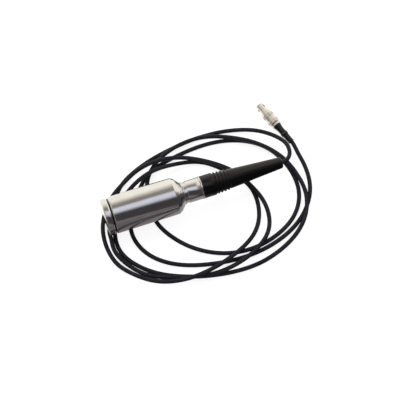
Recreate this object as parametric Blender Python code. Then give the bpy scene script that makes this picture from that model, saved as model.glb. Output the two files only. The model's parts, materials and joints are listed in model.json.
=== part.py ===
"""Hand-held vibration transducer: a steel housing with a moving-coil pickup inside, a ribbed
strain relief, about two metres of cable and a push-pull plug.

The housing lies level along X, with the middle of its contact face at the origin and the
cable leaving towards +X. It rests on strands of its own cable. Units are metres, +Z is up.
"""

import math

import bmesh
import bpy
import numpy as np
from mathutils import Matrix, Vector

MM = 0.001

# Clearances
SEAT = 0.05 * MM  # between flat faces that bear on each other
FIT = 0.2 * MM  # round a piece that sits in a bore
LOOSE = 0.3 * MM  # round the cable, and under pieces that lie on it
AIR_GAP = 0.6 * MM  # between the poles and the moving coil

# Housing and contact cap
BODY_RADIUS = 15.0 * MM
CAP_LENGTH = 5.0 * MM
CAP_CHAMFER = 0.8 * MM
SPIGOT_LENGTH = 5.8 * MM
SPIGOT_WALL = 3.7 * MM
SEAL_WIDTH = 1.2 * MM
SEAL_INSET = 1.0 * MM
BARREL_LENGTH = 52.0 * MM
BARREL_EDGE = 1.2 * MM
WALL = 2.1 * MM
SHOULDER_DROP = 1.4 * MM
SHOULDER_ROUND = 2.6 * MM
SHOULDER_LENGTH = 6.6 * MM
HEAD_THICKNESS = 5.6 * MM

# Neck sleeve that screws into the housing and carries the strain relief
NECK_RADIUS = 9.1 * MM
NECK_LENGTH = 14.8 * MM
NECK_GROOVE_START = 1.3 * MM
NECK_GROOVE_WIDTH = 2.2 * MM
NECK_GROOVE_DEPTH = 0.6 * MM
NECK_THREAD_RADIUS = 6.9 * MM
NECK_BORE = 4.8 * MM
TAIL_RADIUS = 5.6 * MM
TAIL_LENGTH = 12.0 * MM
TAIL_BARB = 0.5 * MM
RING_RADIUS = 9.4 * MM
RING_LENGTH = 1.4 * MM
CLAMP_LENGTH = 4.6 * MM
CABLE_STUB = 0.7 * MM
GROMMET_LENGTH = 4.4 * MM

# Ribbed strain relief
BOOT_RADIUS = 9.2 * MM
BOOT_LENGTH = 68.8 * MM
BOOT_COLLAR = 10.2 * MM
BOOT_EDGE = 0.6 * MM
RIB_COUNT = 4
RIB_PITCH = 2.85 * MM
RIB_WIDTH = 1.5 * MM
RIB_DEPTH = 1.0 * MM
RIB_FALL = 0.14 * MM  # each rib is this much lower than the one before
TAPER_RADIUS = 7.9 * MM
TIP_RADIUS = 4.6 * MM
TIP_ROUND = 1.5 * MM

# Moving-coil cartridge
CASE_WALL = 1.2 * MM
END_PLATE_WIDTH = 2.15 * MM
MAGNET_STEP = 0.4 * MM  # the poles stand out this much round the magnet
POLE_LENGTH = 4.0 * MM
POLE_EDGE = 0.5 * MM
POLE_INSET = 4.15 * MM  # from each end of the bobbin to the pole inside it
BOBBIN_WALL = 0.6 * MM
FLANGE_GAP = 1.0 * MM  # between the bobbin's flanges and the case
FLANGE_WIDTH = 1.0 * MM
WINDING_DEPTH = 1.7 * MM
WINDING_INSET = 0.4 * MM
COIL_TRAVEL = 1.0 * MM  # each way, and the end plates stand further off than this
SPRING_THICKNESS = 0.3 * MM
SPRING_INSET = 0.2 * MM
SPRING_RIM = 1.5 * MM
SPRING_HUB = 3.4 * MM
SPRING_ARMS = 3
SPRING_SWEEP = math.radians(205)
SPRING_SLOT = 0.7 * MM
POST_RADIUS = 1.8 * MM
TERMINAL_RADIUS = 0.7 * MM
TERMINAL_INSET = 2.5 * MM  # from the retainer's bore to the terminals' middle
RETAINER_LENGTH = 2.0 * MM
RETAINER_WALL = 4.2 * MM
BOARD_THICKNESS = 1.2 * MM
WIRING_SPACE = 7.15 * MM  # for the leads, between the board and the neck's screwed end
LEAD_RADIUS = 0.45 * MM
LEAD_OFFSET = 3.0 * MM

# Cable
CABLE_RADIUS = 1.75 * MM
CABLE_STEPS = 80

# Push-pull plug, measured from the end where the cable goes in. It lies on that end and on the
# rear edge of its grip, so its nose points a little upwards.
PLUG_END = Vector((168.5, 22.7, 0)) * MM
PLUG_AZIMUTH = math.radians(110.2)
PLUG_TILT = math.radians(5.5)
PLUG_ROLL = math.radians(-35)
BUTTON_ROLL = math.radians(23)
SLEEVE_BACK_RADIUS = 2.4 * MM
SLEEVE_FRONT_RADIUS = 2.6 * MM
SLEEVE_LENGTH = 10.5 * MM
SLEEVE_LIP = 0.25 * MM
COLLAR_RADIUS = 3.1 * MM
COLLAR_LENGTH = 2.9 * MM
BUTTON_RADIUS = 1.2 * MM
BUTTON_HEIGHT = 0.5 * MM
BUTTON_CENTRE = 9.0 * MM
RELIEF_BACK_RADIUS = 2.7 * MM
RELIEF_FRONT_RADIUS = 3.6 * MM
RELIEF_LENGTH = 8.0 * MM
NUT_RADIUS = 4.4 * MM
NUT_LENGTH = 1.75 * MM
SHELL_TRAVEL = 0.7 * MM
SHELL_GAP = 0.9 * MM  # between the nut and the release shell at rest
GRIP_RADIUS = 4.75 * MM
GRIP_LENGTH = 10.05 * MM
GRIP_BAND = 3.2 * MM
GRIP_STEP = 0.25 * MM
CONE_LENGTH = 4.9 * MM
NOSE_RADIUS = 3.1 * MM
NOSE_LENGTH = 6.0 * MM
NOSE_WALL = 0.5 * MM
WINDOW_LENGTH = 3.3 * MM
WINDOW_WIDTH = 2.2 * MM
WINDOW_SETBACK = 1.5 * MM
LATCH_WALL = 0.4 * MM
TOOTH_LENGTH = 2.0 * MM
TOOTH_WIDTH = 1.5 * MM
TOOTH_RISE = 0.5 * MM
PIN_COUNT = 4
PIN_RADIUS = 0.35 * MM
PIN_CIRCLE = 0.95 * MM
PIN_STANDOUT = 3.2 * MM
PIN_TAIL = 1.2 * MM
PLUG_LEAD_RADIUS = 0.3 * MM

# Places along the plug's axis that follow from the sizes above
RELIEF_START = SLEEVE_LENGTH + SEAT
NUT_START = RELIEF_START + RELIEF_LENGTH + SEAT
NUT_END = NUT_START + NUT_LENGTH
CABLE_END = NUT_END - NUT_LENGTH / 2
SHELL_START = NUT_END + SHELL_GAP
NUT_TAIL_END = SHELL_START + GRIP_LENGTH / 2
CONE_START = SHELL_START + GRIP_LENGTH
NOSE_START = CONE_START + CONE_LENGTH
NOSE_END = NOSE_START + NOSE_LENGTH
NOSE_BORE = NOSE_RADIUS - NOSE_WALL
WINDOW_FRONT = NOSE_END - WINDOW_SETBACK
LATCH_START = NUT_TAIL_END + SEAT
LATCH_END = NOSE_END - SHELL_TRAVEL - WINDOW_SETBACK / 2
INSERT_END = LATCH_END - PIN_STANDOUT
PIN_TIP = LATCH_END - WINDOW_SETBACK / 2
PIN_BACK = LATCH_START - PIN_TAIL

# Places along the housing's axis that follow from the sizes above
HOUSING_FRONT = CAP_LENGTH + SEAL_WIDTH + 2 * SEAT
BORE_RADIUS = BODY_RADIUS - WALL
SHOULDER_START = HOUSING_FRONT + BARREL_LENGTH
NECK_START = SHOULDER_START + SHOULDER_LENGTH
RING_START = NECK_START + SEAT + NECK_LENGTH + SEAT
BOOT_START = RING_START + RING_LENGTH + SEAT
BOOT_END = BOOT_START + BOOT_LENGTH
SPIGOT_END = CAP_LENGTH + SPIGOT_LENGTH
SPIGOT_BORE = BORE_RADIUS - FIT - SPIGOT_WALL
HEAD_START = NECK_START - HEAD_THICKNESS
BOARD_END = HEAD_START - WIRING_SPACE
BOARD_START = BOARD_END - BOARD_THICKNESS
RETAINER_END = BOARD_START - SEAT
RETAINER_BORE = BORE_RADIUS - FIT - RETAINER_WALL
TERMINAL_OFFSET = RETAINER_BORE - TERMINAL_INSET
CABLE_BORE = CABLE_RADIUS + LOOSE
CLAMP_START = NECK_START + SEAT
CABLE_START = CLAMP_START - CABLE_STUB

# The cartridge fills the space between the cap's spigot and its retainer
CARTRIDGE_START = SPIGOT_END + SEAT
CARTRIDGE_END = RETAINER_END - RETAINER_LENGTH - SEAT
CARTRIDGE_LENGTH = CARTRIDGE_END - CARTRIDGE_START
CARTRIDGE_MID = (CARTRIDGE_START + CARTRIDGE_END) / 2
COIL_CLEARANCE = COIL_TRAVEL + LOOSE + SPRING_THICKNESS + SEAT
BOBBIN_LENGTH = CARTRIDGE_LENGTH - 2 * (END_PLATE_WIDTH + COIL_CLEARANCE)
MAGNET_LENGTH = BOBBIN_LENGTH - 2 * (POLE_INSET + POLE_LENGTH + SEAT)

# Radii in the cartridge, from the housing's bore inwards
CASE_RADIUS = BORE_RADIUS - FIT
CASE_BORE = CASE_RADIUS - CASE_WALL
FLANGE_RADIUS = CASE_BORE - FLANGE_GAP
SPRING_RADIUS = FLANGE_RADIUS - SPRING_INSET
COIL_RADIUS = FLANGE_RADIUS - WINDING_INSET
BOBBIN_RADIUS = COIL_RADIUS - WINDING_DEPTH - FIT
BOBBIN_BORE = BOBBIN_RADIUS - BOBBIN_WALL
POLE_RADIUS = BOBBIN_BORE - AIR_GAP
MAGNET_RADIUS = POLE_RADIUS - MAGNET_STEP

# Heights: the body lies on one layer of cable, and the plug on the end of its sleeve
FLOOR = -(BODY_RADIUS + LOOSE + 2 * CABLE_RADIUS)
PLUG_HEIGHT = FLOOR + SLEEVE_BACK_RADIUS + SLEEVE_LIP + SEAT
PLUG_DIRECTION = Vector(
    (
        math.cos(PLUG_AZIMUTH) * math.cos(PLUG_TILT),
        math.sin(PLUG_AZIMUTH) * math.cos(PLUG_TILT),
        math.sin(PLUG_TILT),
    )
)

# Middle of the cable outside the housing, as (x, y, height above the surface) in millimetres:
# out of the strain relief, round the loops that pass under the housing, and into the plug
EXIT_HEIGHT = -FLOOR / MM
CABLE_ROUTE = [
    (150.8, 0, EXIT_HEIGHT), (155.2, 1.3, 18.7), (158.6, 4.8, 18.1), (160.4, 9.6, 16.9),
    (160.5, 18.5, 13.8), (153.5, 31.5, 9), (139, 44, 4), (117, 51, 1.75), (104.5, 52, 1.75),
    (92, 52, 1.75), (66, 48.5, 1.75), (42.5, 42, 1.75), (22.5, 31, 1.75), (11.5, 16, 1.75),
    (1.4, -4, 1.75), (0.4, -12.5, 4), (0, -24, 4.7), (7.7, -40.3, 4.3), (20.5, -53.5, 5.6),
    (42, -62.5, 6), (65.5, -68, 6), (89.5, -66, 6), (110.5, -57.5, 6.2), (124, -43, 3.6),
    (127.5, -23, 3.4), (122, -6, 6), (112.5, 11.5, 6), (94.5, 27.5, 5.8), (75.5, 36.5, 7.6),
    (57, 38.5, 10.6), (39.5, 37, 8.4), (24, 30, 6.4), (10.2, 20.1, 5.5), (-1, 5, 1.75),
    (-5, -13, 1.75), (-2.5, -31, 1.75), (6.8, -47.2, 6.9), (23.5, -61, 9.4), (46, -67, 10.4),
    (67, -65.5, 10.2), (89.5, -58, 6.6), (109.5, -46, 3.6), (121, -27.5, 1.75),
    (121.5, -3.5, 1.75), (108.5, 15, 1.75), (91.5, 29.5, 1.75), (71, 33, 5.6), (51, 31, 10.6),
    (34, 26.5, 7.8), (16, 14.5, 2), (5.5, -5.5, 1.75), (4.3, -24.5, 1.75), (14, -41, 1.75),
    (30, -54, 1.75), (54.5, -64.5, 1.75), (80, -70, 1.75), (107, -70, 1.75), (132.5, -62, 2.2),
    (150.5, -49.5, 5.6), (161.5, -28, 5.6), (161, -7.5, 5.6), (155, 11, 5.6), (140, 29.5, 5.6),
    (119.5, 42.5, 5.6), (97, 49.5, 6), (73, 47.5, 6), (56.5, 40, 6), (44, 27, 5.2),
    (39.5, 10.5, 1.75), (39, -7, 1.75), (45, -22.5, 1.75), (59, -39.5, 1.75), (80.5, -52.5, 1.75),
    (104, -56.5, 1.75), (127, -52, 1.75), (147, -40, 1.75), (158.5, -19, 1.75), (156, 8.5, 1.75),
    (143, 29, 1.75), (120.5, 41, 1.75), (96, 44, 1.75), (70, 41, 1.75), (45.5, 32.5, 1.75),
    (29, 13.5, 1.75), (18, -9, 1.75), (23.5, -32.5, 1.75), (43, -49.5, 1.75), (70, -58.5, 1.75),
    (100, -61.4, 2), (129.5, -56, 2.2), (153, -42.5, 1.75), (168, -21, 1.75), (171, 0, 1.75),
    (170, 12, 1.9), (169.1, 21.1, 2.55),
]

BIG_SIDES = 48
SIDES = 32
SMALL_SIDES = 20
ARC_STEPS = 3


def clear_scene():
    for item in list(bpy.data.objects):
        bpy.data.objects.remove(item)


def new_material(name, colour, roughness, metallic=0.0):
    material = bpy.data.materials.new(name)
    material.use_nodes = True
    shader = material.node_tree.nodes["Principled BSDF"]
    shader.inputs["Base Color"].default_value = (*colour, 1.0)
    shader.inputs["Roughness"].default_value = roughness
    shader.inputs["Metallic"].default_value = metallic
    return material


def add_object(name, data, material, parent=None):
    part = bpy.data.objects.new(name, data)
    part.data.materials.append(material)
    bpy.context.scene.collection.objects.link(part)
    part.parent = parent
    return part


def outline(*corners):
    """The closed profile through (x, radius) corners. A third number rounds that corner."""
    points = []
    for i, corner in enumerate(corners):
        here = Vector(corner[:2])
        if len(corner) == 2:
            points.append(here)
            continue
        back = (Vector(corners[i - 1][:2]) - here).normalized()
        ahead = (Vector(corners[(i + 1) % len(corners)][:2]) - here).normalized()
        half = back.angle(ahead) / 2
        centre = here + (back + ahead).normalized() * corner[2] / math.sin(half)
        start = here + back * corner[2] / math.tan(half) - centre
        end = here + ahead * corner[2] / math.tan(half) - centre
        turn = math.pi - 2 * half
        for k in range(ARC_STEPS + 1):
            share = k / ARC_STEPS
            points.append(
                centre
                + (start * math.sin((1 - share) * turn) + end * math.sin(share * turn))
                / math.sin(turn)
            )
    return points


def turn_profile(profile, sides):
    """A mesh made by spinning a closed (x, radius) profile round the X axis."""
    work = bmesh.new()
    ring = [work.verts.new((x, radius, 0)) for x, radius in profile]
    edges = []
    for a, b in zip(ring, ring[1:] + ring[:1]):
        if a.co.y > 0 or b.co.y > 0:
            edges.append(work.edges.new((a, b)))
    bmesh.ops.spin(
        work, geom=ring + edges, cent=(0, 0, 0), axis=(1, 0, 0), angle=2 * math.pi, steps=sides
    )
    bmesh.ops.remove_doubles(work, verts=work.verts, dist=0.001 * MM)
    bmesh.ops.recalc_face_normals(work, faces=work.faces)
    return work


def finish_mesh(work, name):
    mesh = bpy.data.meshes.new(name)
    work.to_mesh(mesh)
    work.free()
    mesh.shade_smooth()
    mesh.set_sharp_from_angle(angle=math.radians(35))
    return mesh


def turned(name, profile, material, sides=SIDES, parent=None):
    return add_object(name, finish_mesh(turn_profile(profile, sides), name), material, parent)


def box_cutter(name, low, high, parent=None):
    work = bmesh.new()
    bmesh.ops.create_cube(work, size=1.0)
    low, high = Vector(low), Vector(high)
    size = high - low
    place = Matrix.Translation((low + high) / 2) @ Matrix.Diagonal((*size, 1.0))
    bmesh.ops.transform(work, matrix=place, verts=work.verts)
    mesh = bpy.data.meshes.new(name)
    work.to_mesh(mesh)
    work.free()
    cutter = bpy.data.objects.new(name, mesh)
    cutter.hide_render = True
    cutter.display_type = "WIRE"
    cutter.parent = parent
    bpy.context.scene.collection.objects.link(cutter)
    return cutter


def boolean(part, tool, operation):
    step = part.modifiers.new(f"{operation} {tool.name}", "BOOLEAN")
    step.operation = operation
    step.object = tool
    step.solver = "EXACT"


def flat_plate(name, loops, thickness, middle, material):
    """A plate across the X axis. The first loop is its edge, and the others are holes."""
    curve = bpy.data.curves.new(name, "CURVE")
    curve.dimensions = "2D"
    curve.fill_mode = "BOTH"
    curve.extrude = thickness / 2
    for loop in loops:
        spline = curve.splines.new("POLY")
        spline.points.add(len(loop) - 1)
        for point, (u, v) in zip(spline.points, loop):
            point.co = (u, v, 0, 1)
        spline.use_cyclic_u = True
    plate = add_object(name, curve, material)
    plate.matrix_world = Matrix.Translation((middle, 0, 0)) @ Matrix.Rotation(
        math.pi / 2, 4, "Y"
    )
    return plate


def circle(radius, sides, centre=(0, 0)):
    steps = [2 * math.pi * k / sides for k in range(sides)]
    return [(centre[0] + radius * math.cos(a), centre[1] + radius * math.sin(a)) for a in steps]


def tube(name, points, radius, material, resolution=2):
    curve = bpy.data.curves.new(name, "CURVE")
    curve.dimensions = "3D"
    curve.bevel_depth = radius
    curve.bevel_resolution = resolution
    curve.use_fill_caps = True
    spline = curve.splines.new("POLY")
    spline.points.add(len(points) - 1)
    for point, place in zip(spline.points, points):
        point.co = (*place, 1)
    return add_object(name, curve, material)


def smooth_path(points, count):
    """Points at even steps along the natural cubic spline through the given points."""
    knots = np.array(points, float)
    gaps = np.sqrt(np.linalg.norm(np.diff(knots, axis=0), axis=1))
    times = np.concatenate([[0], np.cumsum(gaps)])
    last = len(knots) - 1
    matrix = np.eye(last + 1)
    bends = np.zeros_like(knots)
    for i in range(1, last):
        before, after = gaps[i - 1], gaps[i]
        matrix[i, i - 1 : i + 2] = before, 2 * (before + after), after
        bends[i] = 6 * (
            (knots[i + 1] - knots[i]) / after - (knots[i] - knots[i - 1]) / before
        )
    bends = np.linalg.solve(matrix, bends)
    at = np.linspace(0, times[-1], count)
    i = np.clip(np.searchsorted(times, at) - 1, 0, last - 1)
    share = ((at - times[i]) / gaps[i])[:, None]
    rest = 1 - share
    weight = (gaps[i] ** 2)[:, None] / 6
    return (
        rest * knots[i]
        + share * knots[i + 1]
        + weight * ((rest**3 - rest) * bends[i] + (share**3 - share) * bends[i + 1])
    )


def plug_place(along):
    """The point on the plug's axis at this distance from its cable end."""
    return PLUG_END + Vector((0, 0, PLUG_HEIGHT)) + PLUG_DIRECTION * along


def cable_points():
    """The cable's middle in metres, never lower than the surface lets it lie."""
    path = smooth_path(CABLE_ROUTE, CABLE_STEPS) * MM
    path[:, 2] = np.maximum(path[:, 2], CABLE_RADIUS) + FLOOR
    return [(CABLE_START, 0, 0), *path, plug_place(CABLE_END)]


def build_housing(steel, rubber):
    turned(
        "base_cap",
        outline(
            (0, 0),
            (0, BODY_RADIUS - CAP_CHAMFER),
            (CAP_CHAMFER, BODY_RADIUS),
            (CAP_LENGTH - CAP_CHAMFER / 2, BODY_RADIUS),
            (CAP_LENGTH, BODY_RADIUS - CAP_CHAMFER / 2),
            (CAP_LENGTH, BORE_RADIUS - FIT),
            (SPIGOT_END, BORE_RADIUS - FIT),
            (SPIGOT_END, SPIGOT_BORE),
            (CAP_LENGTH, SPIGOT_BORE),
            (CAP_LENGTH, 0),
        ),
        steel,
        BIG_SIDES,
    )
    seal_start = CAP_LENGTH + SEAT
    seal_inner = BORE_RADIUS + FIT
    seal_outer = BODY_RADIUS - SEAL_INSET
    turned(
        "base_seal",
        outline(
            (seal_start, seal_inner),
            (seal_start, seal_outer),
            (seal_start + SEAL_WIDTH, seal_outer),
            (seal_start + SEAL_WIDTH, seal_inner),
        ),
        rubber,
        BIG_SIDES,
    )
    round_radius = BODY_RADIUS - SHOULDER_DROP
    thread_bore = NECK_THREAD_RADIUS + FIT
    turned(
        "housing",
        outline(
            (HOUSING_FRONT, BORE_RADIUS),
            (HOUSING_FRONT, BODY_RADIUS - BARREL_EDGE / 3),
            (HOUSING_FRONT + BARREL_EDGE / 3, BODY_RADIUS),
            (SHOULDER_START, BODY_RADIUS, BARREL_EDGE),
            (SHOULDER_START + SHOULDER_ROUND, round_radius, BARREL_EDGE),
            (NECK_START, NECK_RADIUS + SHOULDER_DROP / 4),
            (NECK_START, thread_bore),
            (HEAD_START, thread_bore),
            (BOARD_END + SEAT, BORE_RADIUS - WALL / 2),
            (BOARD_END + SEAT, BORE_RADIUS),
        ),
        steel,
        BIG_SIDES,
    )


def build_neck(steel, brass, rubber):
    neck_start = NECK_START + SEAT
    neck_end = neck_start + NECK_LENGTH
    groove = neck_start + NECK_GROOVE_START
    floor_radius = NECK_RADIUS - NECK_GROOVE_DEPTH
    tail_end = neck_end + TAIL_LENGTH
    pocket_end = CLAMP_START + CLAMP_LENGTH + SEAT + GROMMET_LENGTH + SEAT
    turned(
        "neck_sleeve",
        outline(
            (HEAD_START, NECK_BORE),
            (HEAD_START, NECK_THREAD_RADIUS),
            (neck_start, NECK_THREAD_RADIUS),
            (neck_start, NECK_RADIUS),
            (groove, NECK_RADIUS),
            (groove, floor_radius),
            (groove + NECK_GROOVE_WIDTH, floor_radius),
            (groove + NECK_GROOVE_WIDTH, NECK_RADIUS),
            (neck_end, NECK_RADIUS),
            (neck_end, TAIL_RADIUS),
            (tail_end - 2 * TAIL_BARB, TAIL_RADIUS),
            (tail_end - 2 * TAIL_BARB, TAIL_RADIUS - TAIL_BARB),
            (tail_end, TAIL_RADIUS - TAIL_BARB),
            (tail_end, CABLE_BORE),
            (pocket_end, CABLE_BORE),
            (pocket_end, NECK_BORE),
        ),
        steel,
    )
    turned(
        "neck_ring",
        outline(
            (RING_START, TAIL_RADIUS + FIT),
            (RING_START, RING_RADIUS),
            (RING_START + RING_LENGTH, RING_RADIUS),
            (RING_START + RING_LENGTH, TAIL_RADIUS + FIT),
        ),
        steel,
    )
    grommet_start = CLAMP_START + CLAMP_LENGTH + SEAT
    for name, start, length, material in (
        ("cable_clamp", CLAMP_START, CLAMP_LENGTH, brass),
        ("cable_grommet", grommet_start, GROMMET_LENGTH, rubber),
    ):
        turned(
            name,
            outline(
                (start, CABLE_BORE),
                (start, NECK_BORE - FIT),
                (start + length, NECK_BORE - FIT),
                (start + length, CABLE_BORE),
            ),
            material,
            SMALL_SIDES,
        )


def build_boot(rubber):
    """The strain relief: a plain collar, ribs that fall away, and a long taper to the tip."""
    corners = [(BOOT_START, BOOT_RADIUS, BOOT_EDGE)]
    x = BOOT_START + BOOT_COLLAR
    corners.append((x, BOOT_RADIUS))
    groove_width = RIB_PITCH - RIB_WIDTH
    for k in range(RIB_COUNT):
        crest = BOOT_RADIUS - (k + 1) * RIB_FALL
        root = crest - RIB_DEPTH
        corners += [
            (x + groove_width * 0.2, root),
            (x + groove_width * 0.8, root),
            (x + groove_width, crest),
            (x + RIB_PITCH, crest),
        ]
        x += RIB_PITCH
    corners += [
        (x + groove_width * 0.2, TAPER_RADIUS - RIB_DEPTH / 2),
        (x + groove_width * 0.8, TAPER_RADIUS - RIB_DEPTH / 2),
        (x + groove_width * 1.2, TAPER_RADIUS),
        (BOOT_END, TIP_RADIUS, TIP_ROUND),
        (BOOT_END, CABLE_BORE),
    ]
    socket_end = NECK_START + SEAT + NECK_LENGTH + TAIL_LENGTH + SEAT
    corners += [
        (socket_end, CABLE_BORE),
        (socket_end, TAIL_RADIUS + FIT),
        (BOOT_START, TAIL_RADIUS + FIT),
    ]
    turned("strain_relief", outline(*corners), rubber)


def spiral_slot(arm):
    """One slot of a spiral spring, as a closed loop between its hub and its rim."""
    inner = SPRING_HUB + SPRING_SLOT
    outer = SPRING_RADIUS - SPRING_RIM - SPRING_SLOT
    steps = 12
    start = 2 * math.pi * arm / SPRING_ARMS
    near, far = [], []
    for k in range(steps + 1):
        share = k / steps
        angle = start + SPRING_SWEEP * share
        radius = inner + (outer - inner) * share
        near.append(((radius - SPRING_SLOT / 2) * math.cos(angle),
                     (radius - SPRING_SLOT / 2) * math.sin(angle)))
        far.append(((radius + SPRING_SLOT / 2) * math.cos(angle),
                    (radius + SPRING_SLOT / 2) * math.sin(angle)))
    return near + far[::-1]


def build_cartridge(steel, magnet_metal, plastic, aluminium, copper, spring_steel, brass):
    turned(
        "cartridge_case",
        outline(
            (CARTRIDGE_START, CASE_BORE),
            (CARTRIDGE_START, CASE_RADIUS),
            (CARTRIDGE_END, CASE_RADIUS),
            (CARTRIDGE_END, CASE_BORE),
        ),
        steel,
    )
    turned(
        "magnet",
        outline(
            (CARTRIDGE_MID - MAGNET_LENGTH / 2, 0),
            (CARTRIDGE_MID - MAGNET_LENGTH / 2, MAGNET_RADIUS),
            (CARTRIDGE_MID + MAGNET_LENGTH / 2, MAGNET_RADIUS),
            (CARTRIDGE_MID + MAGNET_LENGTH / 2, 0),
        ),
        magnet_metal,
    )
    pole_inner = MAGNET_LENGTH / 2 + SEAT
    pole_outer = pole_inner + POLE_LENGTH
    spring_inner = BOBBIN_LENGTH / 2 + SEAT
    spring_outer = spring_inner + SPRING_THICKNESS
    plate_outer = CARTRIDGE_LENGTH / 2
    plate_inner = spring_outer + COIL_TRAVEL + LOOSE
    plate_radius = CASE_BORE - FIT
    slots = [spiral_slot(arm) for arm in range(SPRING_ARMS)]
    for end, side in (("front", -1), ("rear", 1)):
        def at(distance):
            return CARTRIDGE_MID + side * distance

        turned(
            f"pole_{end}",
            outline(
                (at(pole_inner), 0),
                (at(pole_inner), POLE_RADIUS),
                (at(pole_outer), POLE_RADIUS, POLE_EDGE),
                (at(pole_outer), 0),
            ),
            steel,
        )
        turned(
            f"end_plate_{end}",
            outline(
                (at(plate_outer), 0),
                (at(plate_outer), plate_radius),
                (at(plate_inner), plate_radius),
                (at(plate_inner), POST_RADIUS),
                (at(pole_outer + SEAT), POST_RADIUS),
                (at(pole_outer + SEAT), 0),
            ),
            plastic,
        )
        flat_plate(
            f"spring_{end}",
            [circle(SPRING_RADIUS, SIDES), circle(POST_RADIUS + FIT, SMALL_SIDES), *slots],
            SPRING_THICKNESS,
            at((spring_inner + spring_outer) / 2),
            spring_steel,
        )
    half = BOBBIN_LENGTH / 2
    turned(
        "coil_bobbin",
        outline(
            (CARTRIDGE_MID - half, BOBBIN_BORE),
            (CARTRIDGE_MID - half, FLANGE_RADIUS),
            (CARTRIDGE_MID - half + FLANGE_WIDTH, FLANGE_RADIUS),
            (CARTRIDGE_MID - half + FLANGE_WIDTH, BOBBIN_RADIUS),
            (CARTRIDGE_MID - FLANGE_WIDTH / 2, BOBBIN_RADIUS),
            (CARTRIDGE_MID - FLANGE_WIDTH / 2, FLANGE_RADIUS),
            (CARTRIDGE_MID + FLANGE_WIDTH / 2, FLANGE_RADIUS),
            (CARTRIDGE_MID + FLANGE_WIDTH / 2, BOBBIN_RADIUS),
            (CARTRIDGE_MID + half - FLANGE_WIDTH, BOBBIN_RADIUS),
            (CARTRIDGE_MID + half - FLANGE_WIDTH, FLANGE_RADIUS),
            (CARTRIDGE_MID + half, FLANGE_RADIUS),
            (CARTRIDGE_MID + half, BOBBIN_BORE),
        ),
        aluminium,
    )
    winding_inner = FLANGE_WIDTH / 2 + SEAT
    winding_outer = half - FLANGE_WIDTH - SEAT
    for end, side in (("front", -1), ("rear", 1)):
        near = CARTRIDGE_MID + side * winding_inner
        far = CARTRIDGE_MID + side * winding_outer
        turned(
            f"coil_{end}",
            outline(
                (near, BOBBIN_RADIUS + FIT),
                (near, COIL_RADIUS),
                (far, COIL_RADIUS),
                (far, BOBBIN_RADIUS + FIT),
            ),
            copper,
        )
    turned(
        "cartridge_retainer",
        outline(
            (CARTRIDGE_END + SEAT, RETAINER_BORE),
            (CARTRIDGE_END + SEAT, BORE_RADIUS - FIT),
            (RETAINER_END, BORE_RADIUS - FIT),
            (RETAINER_END, RETAINER_BORE),
        ),
        brass,
    )


def build_wiring(brass, board_green, insulation):
    holes = []
    for side in (-1, 1):
        holes.append(circle(TERMINAL_RADIUS + FIT, 10, (0, side * TERMINAL_OFFSET)))
        holes.append(circle(LEAD_RADIUS + FIT, 8, (side * LEAD_OFFSET, 0)))
    flat_plate(
        "terminal_board",
        [circle(BORE_RADIUS - FIT, SIDES), *holes],
        BOARD_THICKNESS,
        (BOARD_START + BOARD_END) / 2,
        board_green,
    )
    core_offset = CABLE_RADIUS / 2
    for name, side in (("a", -1), ("b", 1)):
        start = CARTRIDGE_END + SEAT
        pin = turned(
            f"terminal_{name}",
            outline(
                (start, 0),
                (start, TERMINAL_RADIUS),
                (BOARD_END + TERMINAL_RADIUS, TERMINAL_RADIUS),
                (BOARD_END + TERMINAL_RADIUS, 0),
            ),
            brass,
            10,
        )
        pin.location.y = side * TERMINAL_OFFSET
        route = [
            (BOARD_START, 0, side * LEAD_OFFSET),
            (BOARD_END, 0, side * LEAD_OFFSET),
            ((BOARD_END + CABLE_START) / 2, 0, side * (LEAD_OFFSET + core_offset) / 2),
            (CABLE_START - 2 * LEAD_RADIUS, 0, side * core_offset),
            (CABLE_START - SEAT, 0, side * core_offset),
        ]
        tube(f"lead_{name}", smooth_path(route, 12), LEAD_RADIUS, insulation, 1)


def plug_axis():
    """An empty at the cable's end of the plug, with its X axis towards the nose."""
    empty = bpy.data.objects.new("plug_axis", None)
    bpy.context.scene.collection.objects.link(empty)
    side = Vector((0, 0, 1)).cross(PLUG_DIRECTION).normalized()
    turn = Matrix((PLUG_DIRECTION, side, PLUG_DIRECTION.cross(side))).transposed().to_4x4()
    place = Matrix.Translation(PLUG_END + Vector((0, 0, PLUG_HEIGHT)))
    empty.matrix_world = place @ turn
    bpy.context.view_layer.update()
    return empty


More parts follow.
